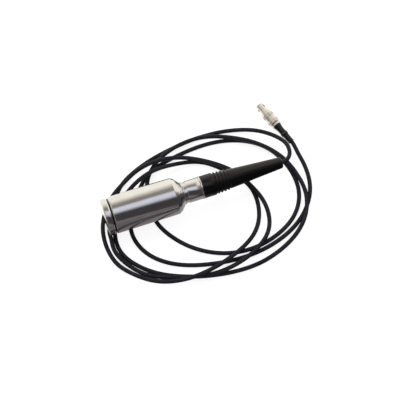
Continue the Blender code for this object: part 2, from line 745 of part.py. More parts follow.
def build_plug_tail(axis, rubber, steel):
    """The black sleeve over the cable, the bend relief and the nut that clamps them."""
    lip_radius = SLEEVE_BACK_RADIUS + SLEEVE_LIP
    collar = SLEEVE_LENGTH - COLLAR_LENGTH
    sleeve = turned(
        "rear_sleeve",
        outline(
            (0, CABLE_BORE),
            (0, lip_radius),
            (3 * SLEEVE_LIP, lip_radius),
            (4 * SLEEVE_LIP, SLEEVE_BACK_RADIUS),
            (collar - SLEEVE_LIP, SLEEVE_FRONT_RADIUS),
            (collar + SLEEVE_LIP, COLLAR_RADIUS),
            (SLEEVE_LENGTH, COLLAR_RADIUS, 2 * SLEEVE_LIP),
            (SLEEVE_LENGTH, CABLE_BORE),
        ),
        rubber,
        SMALL_SIDES,
        axis,
    )
    foot = CABLE_BORE + 2 * SLEEVE_LIP
    top = COLLAR_RADIUS + BUTTON_HEIGHT
    button = turned(
        "sleeve_button",
        outline(
            (foot, 0),
            (foot, BUTTON_RADIUS),
            (top, BUTTON_RADIUS, BUTTON_HEIGHT),
            (top, 0),
        ),
        rubber,
        SMALL_SIDES,
        axis,
    )
    button.matrix_local = (
        Matrix.Translation((BUTTON_CENTRE, 0, 0))
        @ Matrix.Rotation(-BUTTON_ROLL, 4, "X")
        @ Matrix.Rotation(-math.pi / 2, 4, "Y")
    )
    button.hide_render = True
    button.display_type = "WIRE"
    boolean(sleeve, button, "UNION")
    turned(
        "bend_relief",
        outline(
            (RELIEF_START, CABLE_BORE),
            (RELIEF_START, RELIEF_BACK_RADIUS),
            (RELIEF_START + RELIEF_LENGTH / 2, RELIEF_BACK_RADIUS),
            (RELIEF_START + RELIEF_LENGTH, RELIEF_FRONT_RADIUS),
            (RELIEF_START + RELIEF_LENGTH, CABLE_BORE),
        ),
        rubber,
        SMALL_SIDES,
        axis,
    )
    turned(
        "collet_nut",
        outline(
            (NUT_START, CABLE_BORE),
            (NUT_START, NUT_RADIUS - SLEEVE_LIP),
            (NUT_START + SLEEVE_LIP, NUT_RADIUS),
            (NUT_END, NUT_RADIUS),
            (NUT_END, NOSE_RADIUS),
            (NUT_TAIL_END, NOSE_RADIUS),
            (NUT_TAIL_END, CABLE_BORE),
        ),
        steel,
        SMALL_SIDES,
        axis,
    )


def build_release_shell(axis, steel):
    """The grip, cone and nose that are pulled back together to release the latches."""
    grip_bore = NOSE_RADIUS + FIT
    groove_start = SHELL_START + GRIP_BAND
    groove_end = CONE_START - GRIP_BAND
    low = GRIP_RADIUS - GRIP_STEP
    shell = turned(
        "release_shell",
        outline(
            (SHELL_START, grip_bore),
            (SHELL_START, low),
            (SHELL_START + GRIP_STEP, GRIP_RADIUS),
            (groove_start, GRIP_RADIUS),
            (groove_start + GRIP_STEP, low),
            (groove_end - GRIP_STEP, low),
            (groove_end, GRIP_RADIUS),
            (CONE_START - GRIP_STEP, GRIP_RADIUS),
            (CONE_START, low),
            (NOSE_START, NOSE_RADIUS),
            (NOSE_END - NOSE_WALL / 2, NOSE_RADIUS),
            (NOSE_END, NOSE_RADIUS - NOSE_WALL / 2),
            (NOSE_END, NOSE_BORE),
            (CONE_START, NOSE_BORE),
            (CONE_START, grip_bore),
        ),
        steel,
        SIDES,
        axis,
    )
    reach = NOSE_RADIUS + NOSE_WALL
    cutter = box_cutter(
        "latch_window",
        (WINDOW_FRONT - WINDOW_LENGTH, -reach, -WINDOW_WIDTH / 2),
        (WINDOW_FRONT, reach, WINDOW_WIDTH / 2),
        axis,
    )
    cutter.rotation_euler.x = PLUG_ROLL
    boolean(shell, cutter, "DIFFERENCE")


def build_latch(axis, brass):
    outer = NOSE_BORE - FIT
    inner = outer - LATCH_WALL
    latch = turned(
        "latch_sleeve",
        outline(
            (LATCH_START, inner),
            (LATCH_START, outer),
            (LATCH_END, outer),
            (LATCH_END, inner),
        ),
        brass,
        SMALL_SIDES,
        axis,
    )
    tooth_front = WINDOW_FRONT - SHELL_TRAVEL - LOOSE
    for side, name in ((-1, "tooth_left"), (1, "tooth_right")):
        ends = sorted((side * (outer - LATCH_WALL / 2), side * (NOSE_RADIUS + TOOTH_RISE)))
        tooth = box_cutter(
            name,
            (tooth_front - TOOTH_LENGTH, ends[0], -TOOTH_WIDTH / 2),
            (tooth_front, ends[1], TOOTH_WIDTH / 2),
            axis,
        )
        tooth.rotation_euler.x = PLUG_ROLL
        boolean(latch, tooth, "UNION")
    return inner - FIT


def build_contacts(axis, insert_radius, plastic, gold, insulation):
    """The insulator, its pins, and the two wires from the cable to a pin each."""
    insert = turned(
        "plug_insulator",
        outline(
            (LATCH_START, 0),
            (LATCH_START, insert_radius),
            (INSERT_END, insert_radius),
            (INSERT_END, 0),
        ),
        plastic,
        SMALL_SIDES,
        axis,
    )
    for k in range(PIN_COUNT):
        angle = 2 * math.pi * (k + 0.5) / PIN_COUNT
        place = Vector((0, PIN_CIRCLE * math.cos(angle), PIN_CIRCLE * math.sin(angle)))
        pin = turned(
            f"contact_pin_{k + 1}",
            outline(
                (PIN_BACK, 0),
                (PIN_BACK, PIN_RADIUS),
                (PIN_TIP - PIN_RADIUS, PIN_RADIUS),
                (PIN_TIP, PIN_RADIUS / 2),
                (PIN_TIP, 0),
            ),
            gold,
            8,
            axis,
        )
        hole_radius = PIN_RADIUS + FIT / 2
        hole = turned(
            f"pin_hole_{k + 1}",
            outline(
                (PIN_BACK, 0), (PIN_BACK, hole_radius), (PIN_TIP, hole_radius), (PIN_TIP, 0)
            ),
            gold,
            8,
            axis,
        )
        hole.hide_render = True
        hole.display_type = "WIRE"
        pin.location = hole.location = place
        boolean(insert, hole, "DIFFERENCE")
    for name, k in (("a", 0), ("b", 2)):
        angle = 2 * math.pi * (k + 0.5) / PIN_COUNT
        aim = Vector((0, math.cos(angle), math.sin(angle)))
        near = Vector((CABLE_END + SEAT, 0, 0)) + aim * CABLE_RADIUS / 2
        far = Vector((PIN_BACK - SEAT, 0, 0)) + aim * PIN_CIRCLE
        wire = tube(f"plug_lead_{name}", [near, far], PLUG_LEAD_RADIUS, insulation, 1)
        wire.parent = axis


def build_part():
    clear_scene()
    steel = new_material("stainless_steel", (0.62, 0.61, 0.58), 0.28, 1.0)
    plug_steel = new_material("plug_chrome", (0.78, 0.74, 0.68), 0.25, 1.0)
    rubber = new_material("black_rubber", (0.012, 0.012, 0.014), 0.45)
    jacket = new_material("cable_jacket", (0.02, 0.02, 0.024), 0.4)
    brass = new_material("brass", (0.7, 0.52, 0.25), 0.35, 1.0)
    gold = new_material("gold_contact", (0.9, 0.68, 0.3), 0.25, 1.0)
    copper = new_material("enamelled_copper", (0.6, 0.22, 0.08), 0.4, 0.6)
    plastic = new_material("insulator_plastic", (0.75, 0.7, 0.58), 0.5)
    aluminium = new_material("aluminium", (0.72, 0.73, 0.75), 0.4, 1.0)
    magnet_metal = new_material("magnet", (0.35, 0.35, 0.37), 0.45, 1.0)
    spring_steel = new_material("spring_bronze", (0.65, 0.42, 0.24), 0.35, 1.0)
    board_green = new_material("board_laminate", (0.04, 0.2, 0.08), 0.55)
    insulation = new_material("lead_insulation", (0.5, 0.05, 0.04), 0.5)

    build_housing(steel, rubber)
    build_neck(steel, brass, rubber)
    build_boot(rubber)
    build_cartridge(steel, magnet_metal, plastic, aluminium, copper, spring_steel, brass)
    build_wiring(brass, board_green, insulation)
    tube("cable", cable_points(), CABLE_RADIUS, jacket)
    axis = plug_axis()
    build_plug_tail(axis, rubber, plug_steel)
    build_release_shell(axis, plug_steel)
    insert_radius = build_latch(axis, brass)
    build_contacts(axis, insert_radius, plastic, gold, insulation)


build_part()
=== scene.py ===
# %% [markdown]
# This lesson dresses a vibration transducer: a polished steel pickup that a technician holds
# against a machine, its ribbed rubber strain relief, about two metres of thin cable and a
# push-pull plug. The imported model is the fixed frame. Each piece that shows is drawn again here
# on the same sizes, with finer edges and a finish, and the hidden pieces get a material.

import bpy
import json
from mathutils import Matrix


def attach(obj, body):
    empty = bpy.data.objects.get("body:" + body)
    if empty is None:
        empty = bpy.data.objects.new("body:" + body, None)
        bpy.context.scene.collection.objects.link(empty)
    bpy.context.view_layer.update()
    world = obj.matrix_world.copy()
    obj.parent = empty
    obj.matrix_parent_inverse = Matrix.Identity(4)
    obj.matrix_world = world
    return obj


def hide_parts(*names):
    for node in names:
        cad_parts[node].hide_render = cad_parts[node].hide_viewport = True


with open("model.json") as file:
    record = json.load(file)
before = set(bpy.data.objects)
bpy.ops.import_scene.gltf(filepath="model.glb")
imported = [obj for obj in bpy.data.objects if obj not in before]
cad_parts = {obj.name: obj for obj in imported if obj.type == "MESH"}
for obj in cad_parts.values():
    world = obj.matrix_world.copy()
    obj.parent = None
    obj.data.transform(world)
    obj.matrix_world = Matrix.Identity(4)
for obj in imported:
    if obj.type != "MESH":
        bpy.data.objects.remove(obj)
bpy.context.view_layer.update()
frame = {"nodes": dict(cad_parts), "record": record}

# %% Name the units and the shared tools
import json
import math

import bmesh
import bpy
import numpy as np
from mathutils import Matrix, Vector

MM = 0.001
scene = bpy.context.scene
print("nodes in the frame:", len(frame["nodes"]))

# %% [markdown]
# The camera stands where the photographer stood. Its place was found by fitting one pinhole
# camera to the edges of the housing: it looks down at 65 degrees, from a little to the left,
# through a long lens, so the far end of the part is hardly smaller than the near end.

# %% Place the camera
CAMERA_PLACE = Vector((-49.0, -371.1, 819.7)) * MM
LOOK_DOWN = math.radians(65)
LOOK_TURN = math.radians(19.16)
LENS = 102.06
SENSOR = 36.0

ahead = Vector((math.sin(LOOK_TURN), math.cos(LOOK_TURN), 0))
right = Vector((math.cos(LOOK_TURN), -math.sin(LOOK_TURN), 0))
sight = ahead * math.cos(LOOK_DOWN) - Vector((0, 0, 1)) * math.sin(LOOK_DOWN)
camera_data = bpy.data.cameras.new("photo_camera")
camera_data.lens = LENS
camera_data.sensor_width = SENSOR
camera = bpy.data.objects.new("photo_camera", camera_data)
scene.collection.objects.link(camera)
turn = Matrix((right, right.cross(sight), -sight)).transposed().to_4x4()
camera.matrix_world = Matrix.Translation(CAMERA_PLACE) @ turn
scene.camera = camera
print("camera lens in millimetres:", LENS)

# %% [markdown]
# The cable is one length of limp round lead. It leaves the strain relief, drops to the table
# and runs round the loops that the photograph shows, over and under itself, and up into the
# plug. A curve with a round bevel draws it: a smooth spline runs through the same points that
# the model's plain tube follows, read at close steps, so bends stay round.

# %% Lay out the cable's route
SURFACE = -18.8 * MM
CABLE_RADIUS = 1.75 * MM
CABLE_STEPS = 1100
EXIT_HEIGHT = 18.8

CABLE_ROUTE = [
    (142, 0, EXIT_HEIGHT), (147, 0, EXIT_HEIGHT), (150.8, 0, EXIT_HEIGHT), (155.2, 1.3, 18.7),
    (158.6, 4.8, 18.1), (160.4, 9.6, 16.9), (160.5, 18.5, 13.8), (153.5, 31.5, 9), (139, 44, 4),
    (117, 51, 1.75), (104.5, 52, 1.75), (92, 52, 1.75), (66, 48.5, 1.75), (42.5, 42, 1.75),
    (22.5, 31, 1.75), (11.5, 16, 1.75), (1.4, -4, 1.75), (0.4, -12.5, 4), (0, -24, 4.7),
    (7.7, -40.3, 4.3), (20.5, -53.5, 5.6), (42, -62.5, 6), (65.5, -68, 6), (89.5, -66, 6),
    (110.5, -57.5, 6.2), (124, -43, 3.6), (127.5, -23, 3.4), (122, -6, 6), (112.5, 11.5, 6),
    (94.5, 27.5, 5.8), (75.5, 36.5, 7.6), (57, 38.5, 10.6), (39.5, 37, 8.4), (24, 30, 6.4),
    (10.2, 20.1, 5.5), (-1, 5, 1.75), (-5, -13, 1.75), (-2.5, -31, 1.75), (6.8, -47.2, 6.9),
    (23.5, -61, 9.4), (46, -67, 10.4), (67, -65.5, 10.2), (89.5, -58, 6.6), (109.5, -46, 3.6),
    (121, -27.5, 1.75), (121.5, -3.5, 1.75), (108.5, 15, 1.75), (91.5, 29.5, 1.75), (71, 33, 5.6),
    (51, 31, 10.6), (34, 26.5, 7.8), (16, 14.5, 2), (5.5, -5.5, 1.75), (4.3, -24.5, 1.75),
    (14, -41, 1.75), (30, -54, 1.75), (54.5, -64.5, 1.75), (80, -70, 1.75), (107, -70, 1.75),
    (132.5, -62, 2.2), (150.5, -49.5, 5.6), (161.5, -28, 5.6), (161, -7.5, 5.6), (155, 11, 5.6),
    (140, 29.5, 5.6), (119.5, 42.5, 5.6), (97, 49.5, 6), (73, 47.5, 6), (56.5, 40, 6),
    (44, 27, 5.2), (39.5, 10.5, 1.75), (39, -7, 1.75), (45, -22.5, 1.75), (59, -39.5, 1.75),
    (80.5, -52.5, 1.75), (104, -56.5, 1.75), (127, -52, 1.75), (147, -40, 1.75),
    (158.5, -19, 1.75), (156, 8.5, 1.75), (143, 29, 1.75), (120.5, 41, 1.75), (96, 44, 1.75),
    (70, 41, 1.75), (45.5, 32.5, 1.75), (29, 13.5, 1.75), (18, -9, 1.75), (23.5, -32.5, 1.75),
    (43, -49.5, 1.75), (70, -58.5, 1.75), (100, -61.4, 2), (129.5, -56, 2.2), (153, -42.5, 1.75),
    (168, -21, 1.75), (171, 0, 1.75), (170, 12, 1.9), (169.1, 21.1, 2.55), (168, 24.1, 2.85),
    (166.6, 27.8, 3.25),
]


def smooth_path(points, count):
    """Points at even steps along the natural cubic spline through the given points."""
    knots = np.array(points, float)
    gaps = np.sqrt(np.linalg.norm(np.diff(knots, axis=0), axis=1))
    times = np.concatenate([[0], np.cumsum(gaps)])
    last = len(knots) - 1
    matrix = np.eye(last + 1)
    bends = np.zeros_like(knots)
    for i in range(1, last):
        before, after = gaps[i - 1], gaps[i]
        matrix[i, i - 1 : i + 2] = before, 2 * (before + after), after
        bends[i] = 6 * (
            (knots[i + 1] - knots[i]) / after - (knots[i] - knots[i - 1]) / before
        )
    bends = np.linalg.solve(matrix, bends)
    at = np.linspace(0, times[-1], count)
    i = np.clip(np.searchsorted(times, at) - 1, 0, last - 1)
    share = ((at - times[i]) / gaps[i])[:, None]
    rest = 1 - share
    weight = (gaps[i] ** 2)[:, None] / 6
    return (
        rest * knots[i]
        + share * knots[i + 1]
        + weight * ((rest**3 - rest) * bends[i] + (share**3 - share) * bends[i + 1])
    )


cable_path = smooth_path(CABLE_ROUTE, CABLE_STEPS) * MM
cable_path[:, 2] = np.maximum(cable_path[:, 2], CABLE_RADIUS) + SURFACE

# %% Draw the cable
BEVEL_STEPS = 6

cable_curve = bpy.data.curves.new("lead", "CURVE")
cable_curve.dimensions = "3D"
cable_curve.bevel_depth = CABLE_RADIUS
cable_curve.bevel_resolution = BEVEL_STEPS
cable_curve.use_fill_caps = True
spline = cable_curve.splines.new("POLY")
spline.points.add(len(cable_path) - 1)
spline.points.foreach_set("co", np.hstack([cable_path, np.ones((len(cable_path), 1))]).ravel())
spline.use_smooth = True
lead = bpy.data.objects.new("lead", cable_curve)
scene.collection.objects.link(lead)
print("points along the cable:", len(cable_path))

# %% [markdown]
# Polished steel shows the room more than its own colour, so the studio comes before the
# finishes. Looked at along its length, the housing is a round mirror: from its top edge to its
# bottom edge it shows a cream wall behind, a soft box overhead, the dark front of the room and
# the table. The world holds that room as bands of colour by direction, for reflections only.
# The plug lies across them, so it shows the room's sides instead. The left side is khaki at its
# end and cream nearer the middle, and it dims towards the front. The right side is cream behind
# and dark in front. The camera sees plain white, and the light that falls on everything is soft
# and comes mostly from the wall.


# %% Build the room that the steel reflects
def new_node(tree, kind, inputs=None, **settings):
    """One node, with its settings and the values or links of its inputs."""
    node = tree.nodes.new(kind)
    for key, value in settings.items():
        setattr(node, key, value)
    for key, value in (inputs or {}).items():
        if isinstance(value, bpy.types.NodeSocket):
            tree.links.new(value, node.inputs[key])
        else:
            node.inputs[key].default_value = value
    return node


def fill_ramp(node, stops):
    """Sets a colour ramp from (position, (red, green, blue)) stops."""
    ramp = node.color_ramp
    while len(ramp.elements) > 1:
        ramp.elements.remove(ramp.elements[-1])
    ramp.elements[0].position = stops[0][0]
    ramp.elements[0].color = (*stops[0][1], 1)
    for position, colour in stops[1:]:
        ramp.elements.new(position).color = (*colour, 1)


CREAM = (1.08, 1.05, 0.97)
WALL_EDGE = (0.62, 0.59, 0.52)
OLIVE = (0.27, 0.255, 0.23)
SOFT_BOX = (0.78, 0.79, 0.93)
DARK_ROOM = (0.05, 0.048, 0.052)
BRIGHT_EDGE = (0.22, 0.185, 0.19)
FRONT_ROOM = (0.13, 0.115, 0.12)
FAR_TABLE = (0.15, 0.138, 0.145)
NEAR_TABLE = (0.2, 0.187, 0.2)
KHAKI = (0.34, 0.29, 0.23)

# Angles in degrees round the housing's axis, from straight up (0) towards the camera's side.
ROOM_BANDS = [
    (-180, CREAM), (-66, CREAM), (-44, WALL_EDGE), (-30, OLIVE), (-14, OLIVE), (-5, SOFT_BOX),
    (13, SOFT_BOX), (31, DARK_ROOM), (72, DARK_ROOM), (82, BRIGHT_EDGE), (91, FRONT_ROOM),
    (100, FAR_TABLE), (180, FAR_TABLE),
]
# The left side of the room, by how far a direction points to the left (-1) or ahead (0).
ROOM_LEFT = [
    (-1, KHAKI), (-0.75, (0.56, 0.5, 0.41)), (-0.35, (0.86, 0.8, 0.7)), (0, (0.96, 0.91, 0.82)),
]
# How much of that shows, by the same angle as the bands.
LEFT_LEVELS = [
    (-180, (1, 1, 1)), (0, (1, 1, 1)), (35, (0.4, 0.4, 0.42)), (180, (0.25, 0.25, 0.26)),
]
# The right side of the room, by that angle.
ROOM_RIGHT = [
    (-180, (1.12, 1.06, 0.94)), (-16, (1.06, 1.0, 0.89)), (6, (0.3, 0.28, 0.3)),
    (45, (0.06, 0.055, 0.06)), (180, (0.06, 0.055, 0.06)),
]
# The bands slant: further right they lie further round, and the lower ones most.
SLANT_FROM = 0.08
SLANT = math.radians(110)
SLANT_TOP = -math.pi / 3
SLANT_BOTTOM = math.pi / 2
# They show where a direction points about straight across the housing, by its X part.
BANDS_MIDDLE = 0.0525
BANDS_HALF = 0.1525
BANDS_FADE = 0.025
# Between these X parts the left side gives way to the right side.
LEFT_END = -0.1
RIGHT_START = 0.2
# The soft light that falls on everything, by the same angle as the bands.
FILL_LIGHT = [
    (-180, (1.1, 1.08, 1.03)), (-60, (1.25, 1.23, 1.17)), (0, (0.7, 0.7, 0.7)),
    (60, (0.2, 0.2, 0.22)), (180, (0.2, 0.2, 0.22)),
]

world = bpy.data.worlds.new("studio")
scene.world = world
world.use_nodes = True
sky = world.node_tree
sky.nodes.clear()
way = new_node(sky, "ShaderNodeTexCoord").outputs["Generated"]
axes = new_node(sky, "ShaderNodeSeparateXYZ", {0: way})
front = new_node(sky, "ShaderNodeMath", {0: axes.outputs["Y"], 1: -1.0}, operation="MULTIPLY")
angle = new_node(
    sky, "ShaderNodeMath", {0: front.outputs[0], 1: axes.outputs["Z"]}, operation="ARCTAN2"
)


def share_between(value, low, high):
    """0 up to the low value, 1 from the high value on."""
    inputs = {"Value": value, "From Min": low, "From Max": high}
    return new_node(sky, "ShaderNodeMapRange", inputs).outputs["Result"]


def room_ramp(value, low, high, stops):
    """Colours set out over the value, which runs from low to high."""
    ramp = new_node(sky, "ShaderNodeValToRGB", {"Fac": share_between(value, low, high)})
    first, last = stops[0][0], stops[-1][0]
    fill_ramp(ramp, [((place - first) / (last - first), colour) for place, colour in stops])
    return ramp.outputs["Color"]


lean = new_node(
    sky,
    "ShaderNodeMapRange",
    {
        "Value": angle.outputs[0],
        "From Min": SLANT_TOP,
        "From Max": SLANT_BOTTOM,
        "To Max": SLANT,
    },
)
beyond = new_node(
    sky, "ShaderNodeMath", {0: axes.outputs["X"], 1: SLANT_FROM}, operation="SUBTRACT"
)
shift = new_node(
    sky, "ShaderNodeMath", {0: beyond.outputs[0], 1: lean.outputs["Result"]}, operation="MULTIPLY"
)
slanted = new_node(
    sky, "ShaderNodeMath", {0: angle.outputs[0], 1: shift.outputs[0]}, operation="SUBTRACT"
)
bands = room_ramp(slanted.outputs[0], -math.pi, math.pi, ROOM_BANDS)
fill = room_ramp(angle.outputs[0], -math.pi, math.pi, FILL_LIGHT)
left_wall = room_ramp(axes.outputs["X"], -1.0, 0.0, ROOM_LEFT)
left_level = room_ramp(angle.outputs[0], -math.pi, math.pi, LEFT_LEVELS)
left = new_node(
    sky,
    "ShaderNodeMix",
    {"Factor": 1.0, 6: left_wall, 7: left_level},
    data_type="RGBA",
    blend_type="MULTIPLY",
).outputs[2]
right_side = room_ramp(angle.outputs[0], -math.pi, math.pi, ROOM_RIGHT)


def colour_mix(factor, first, second):
    """The first colour where the factor is 0, and the second where it is 1."""
    inputs = {"Factor": factor, 6: first, 7: second}
    return new_node(sky, "ShaderNodeMix", inputs, data_type="RGBA").outputs[2]


aside = new_node(
    sky, "ShaderNodeMath", {0: axes.outputs["X"], 1: BANDS_MIDDLE}, operation="SUBTRACT"
)
away = new_node(sky, "ShaderNodeMath", {0: aside.outputs[0]}, operation="ABSOLUTE")
sides = colour_mix(share_between(axes.outputs["X"], LEFT_END, RIGHT_START), left, right_side)
mirrored = colour_mix(
    share_between(away.outputs[0], BANDS_HALF, BANDS_HALF + BANDS_FADE), bands, sides
)
rays = new_node(sky, "ShaderNodeLightPath")
even = new_node(sky, "ShaderNodeBackground", {"Color": fill})
room = new_node(sky, "ShaderNodeBackground", {"Color": mirrored})
white = new_node(sky, "ShaderNodeBackground", {"Color": (1, 1, 1, 1)})
lit = new_node(
    sky,
    "ShaderNodeMixShader",
    {0: rays.outputs["Is Glossy Ray"], 1: even.outputs[0], 2: room.outputs[0]},
)
seen = new_node(
    sky,
    "ShaderNodeMixShader",
    {0: rays.outputs["Is Camera Ray"], 1: lit.outputs[0], 2: white.outputs[0]},
)
new_node(sky, "ShaderNodeOutputWorld", {"Surface": seen.outputs[0]})
print("bands in the room:", len(ROOM_BANDS))

# %% [markdown]
# Two large lamps throw the faint shadow on the table and lift the dark pieces a little. They
# aren't mirrored in the steel, so its stripes come from the room and the table alone.


# %% Hang the lamps
def soft_lamp(name, place, target, size, power, colour):
    """An area lamp that lights the part and casts a soft shadow, but isn't mirrored in it."""
    data = bpy.data.lights.new(name, "AREA")
    data.shape = "DISK"
    data.size = size
    data.energy = power
    data.color = colour
    lamp = bpy.data.objects.new(name, data)
    scene.collection.objects.link(lamp)
    lamp.location = place
    lamp.rotation_euler = (Vector(target) - Vector(place)).to_track_quat("-Z", "Y").to_euler()
    lamp.visible_glossy = False


MIDDLE = (0.08, 0, 0)
soft_lamp("key_lamp", (-0.1, 0.55, 0.8), MIDDLE, 0.6, 5.0, (1.0, 0.98, 0.94))
soft_lamp("fill_lamp", (0.3, -0.6, 0.7), MIDDLE, 0.8, 2.0, (0.95, 0.96, 1.0))


# %% [markdown]
# The table is a plain pale sheet. To the camera it is white and keeps a faint shadow under the
# part. To the steel it shows a painted reflection of itself, glowing: cream behind the housing
# and grey in front, where the photographer's side of the room is darker. The grey carries
# painted light and shade: brightest beside the neck, with a painted shadow of the part beyond
# it, as the lowest stripe on the steel shows.


# %% Lay the table
FLOOR_HALF = 3.0
FLOOR_GAP = 0.02 * MM
FLOOR_WHITE = 0.83
# What the sheet throws back on the part, and the colour that takes the part's shadow.
SHEET_GREY = (0.2, 0.2, 0.2, 1)
SHADOW_GREY = (0.3, 0.3, 0.3, 1)
# What the steel sees of the table, by millimetres behind (+) or in front (-) of the housing.
TABLE_BANDS = [
    (-120, FAR_TABLE), (-105, FAR_TABLE), (-75, NEAR_TABLE), (-25, NEAR_TABLE),
    (-8, (0.34, 0.33, 0.34)), (0, (0.5, 0.48, 0.45)), (6, CREAM), (120, CREAM),
]
# Painted light and shade on its near side, by millimetres from the contact face along the
# housing: dimmer where the housing shades it, brightest beside the neck, and a painted shadow
# under the strain relief.
TABLE_LIGHT_AND_SHADE = [(0, 0.85), (30, 0.9), (55, 1.15), (70, 1.5), (90, 1.4), (97, 0.35), (160, 0.3)]
TABLE_REACH = TABLE_BANDS[-1][0]
LIGHT_AND_SHADE_END = TABLE_LIGHT_AND_SHADE[-1][0]
# That painted light and shade fades out behind the housing, over these millimetres.
NEAR_SIDE_END = 6
FAR_SIDE_START = 14

floor_mesh = bpy.data.meshes.new("table_top")
corners = [(-1, -1), (1, -1), (1, 1), (-1, 1)]
floor_mesh.from_pydata(
    [(x * FLOOR_HALF, y * FLOOR_HALF, SURFACE - FLOOR_GAP) for x, y in corners],
    [],
    [(0, 1, 2, 3)],
)
table_top = bpy.data.objects.new("table_top", floor_mesh)
scene.collection.objects.link(table_top)

paper = bpy.data.materials.new("white_table")
paper.use_nodes = True
tree = paper.node_tree
tree.nodes.clear()
place = new_node(tree, "ShaderNodeTexCoord").outputs["Object"]
across = new_node(tree, "ShaderNodeSeparateXYZ", {0: place}).outputs["Y"]
near_far = new_node(
    tree,
    "ShaderNodeMapRange",
    {"Value": across, "From Min": -TABLE_REACH * MM, "From Max": TABLE_REACH * MM},
)
tint = new_node(tree, "ShaderNodeValToRGB", {"Fac": near_far.outputs["Result"]})
fill_ramp(
    tint, [((y + TABLE_REACH) / (2 * TABLE_REACH), colour) for y, colour in TABLE_BANDS]
)
rays = new_node(tree, "ShaderNodeLightPath")
sheet = new_node(tree, "ShaderNodeBsdfDiffuse", {"Color": SHEET_GREY})
shaded = new_node(tree, "ShaderNodeBsdfDiffuse", {"Color": SHADOW_GREY})
glow = new_node(
    tree,
    "ShaderNodeEmission",
    {"Color": (1, 1, 1, 1), "Strength": FLOOR_WHITE},
)
shown = new_node(tree, "ShaderNodeAddShader", {0: shaded.outputs[0], 1: glow.outputs[0]})
camera_side = new_node(
    tree,
    "ShaderNodeMixShader",
    {0: rays.outputs["Is Camera Ray"], 1: sheet.outputs[0], 2: shown.outputs[0]},
)
# Painted light and shade: the mirrored table is dimmed by the housing and under the strain
# relief, and brightened beside the neck.
beside = new_node(tree, "ShaderNodeSeparateXYZ", {0: place}).outputs["X"]
along = new_node(tree, "ShaderNodeMapRange", {"Value": beside, "From Max": LIGHT_AND_SHADE_END * MM})
level = new_node(tree, "ShaderNodeValToRGB", {"Fac": along.outputs["Result"]})
fill_ramp(level, [(x / LIGHT_AND_SHADE_END, (share, share, share)) for x, share in TABLE_LIGHT_AND_SHADE])
behind = new_node(
    tree,
    "ShaderNodeMapRange",
    {"Value": across, "From Min": NEAR_SIDE_END * MM, "From Max": FAR_SIDE_START * MM},
)
strength = new_node(
    tree,
    "ShaderNodeMix",
    {"Factor": behind.outputs["Result"], "A": level.outputs["Color"], "B": 1.0},
)
mirrored = new_node(
    tree,
    "ShaderNodeEmission",
    {"Color": tint.outputs["Color"], "Strength": strength.outputs["Result"]},
)
result = new_node(
    tree,
    "ShaderNodeMixShader",
    {0: rays.outputs["Is Glossy Ray"], 1: camera_side.outputs[0], 2: mirrored.outputs[0]},
)
new_node(tree, "ShaderNodeOutputMaterial", {"Surface": result.outputs[0]})
floor_mesh.materials.append(paper)
scene.view_settings.view_transform = "Standard"
print("stripes of the table that the steel sees:", len(TABLE_BANDS))

# %% [markdown]
# Two effects serve most of the finishes. A lathe leaves fine rings round everything that it
# turns, and a mould leaves a faint orange-peel skin on rubber and plastic. Each is a node group
# with its own settings, placed in every material that needs it.


# %% Make the shared surface effects
def new_group(name, inputs, outputs):
    """A shader node group with float inputs, each (name, value), and float outputs."""
    group = bpy.data.node_groups.new(name, "ShaderNodeTree")
    for label, value in inputs:
        socket = group.interface.new_socket(label, in_out="INPUT", socket_type="NodeSocketFloat")
        socket.default_value = value
    for label in outputs:
        group.interface.new_socket(label, in_out="OUTPUT", socket_type="NodeSocketFloat")
    return group, group.nodes.new("NodeGroupInput"), group.nodes.new("NodeGroupOutput")


def make_turned_marks():
    """Fine rings round the X axis, and soft blotches of handling."""
    group, given, out = new_group(
        "turned_marks", [("Rings", 2500.0), ("Blotches", 90.0)], ["Rings", "Blotches"]
    )
    place = new_node(group, "ShaderNodeTexCoord").outputs["Object"]
    along = new_node(group, "ShaderNodeSeparateXYZ", {0: place}).outputs["X"]
    rings = new_node(
        group,
        "ShaderNodeTexNoise",
        {"W": along, "Scale": given.outputs["Rings"], "Detail": 3.0},
        noise_dimensions="1D",
    )
    blotches = new_node(
        group,
        "ShaderNodeTexNoise",
        {"Vector": place, "Scale": given.outputs["Blotches"], "Detail": 4.0},
    )
    group.links.new(rings.outputs["Fac"], out.inputs["Rings"])
    group.links.new(blotches.outputs["Fac"], out.inputs["Blotches"])
    return group


def make_moulded_skin():
    """A fine grain from the mould, and broad patches of handling and dust."""
    group, given, out = new_group(
        "moulded_skin", [("Grain", 3000.0), ("Patches", 60.0)], ["Grain", "Patches"]
    )
    place = new_node(group, "ShaderNodeTexCoord").outputs["Object"]
    for label, detail in (("Grain", 2.0), ("Patches", 5.0)):
        noise = new_node(
            group,
            "ShaderNodeTexNoise",
            {"Vector": place, "Scale": given.outputs[label], "Detail": detail},
        )
        group.links.new(noise.outputs["Fac"], out.inputs[label])
    return group


turned_marks = make_turned_marks()
moulded_skin = make_moulded_skin()
print("shared effects:", turned_marks.name, "and", moulded_skin.name)


# %% [markdown]
# Every finish is one Principled shader. The group's marks move its roughness a little and push
# a very low bump, so highlights break up as they do on the real surface. A few pieces take a
# variant of their slot's finish: the latch teeth are yellower, the knurl is duller, the nut's
# tail is duller and darker with painted shade for the gap, and the button is glossier rubber.


# %% Make the finishes
TONE_LOW = 0.35
TONE_HIGH = 0.65
RING_DEPTH = 0.01 * MM
GRAIN_DEPTH = 0.05 * MM


def start_finish(name, roughness, metallic, **sockets):
    material = bpy.data.materials.new(name)
    material.use_nodes = True
    shader = material.node_tree.nodes["Principled BSDF"]
    shader.inputs["Roughness"].default_value = roughness
    shader.inputs["Metallic"].default_value = metallic
    for key, value in sockets.items():
        shader.inputs[key.replace("_", " ")].default_value = value
    return material, material.node_tree, shader


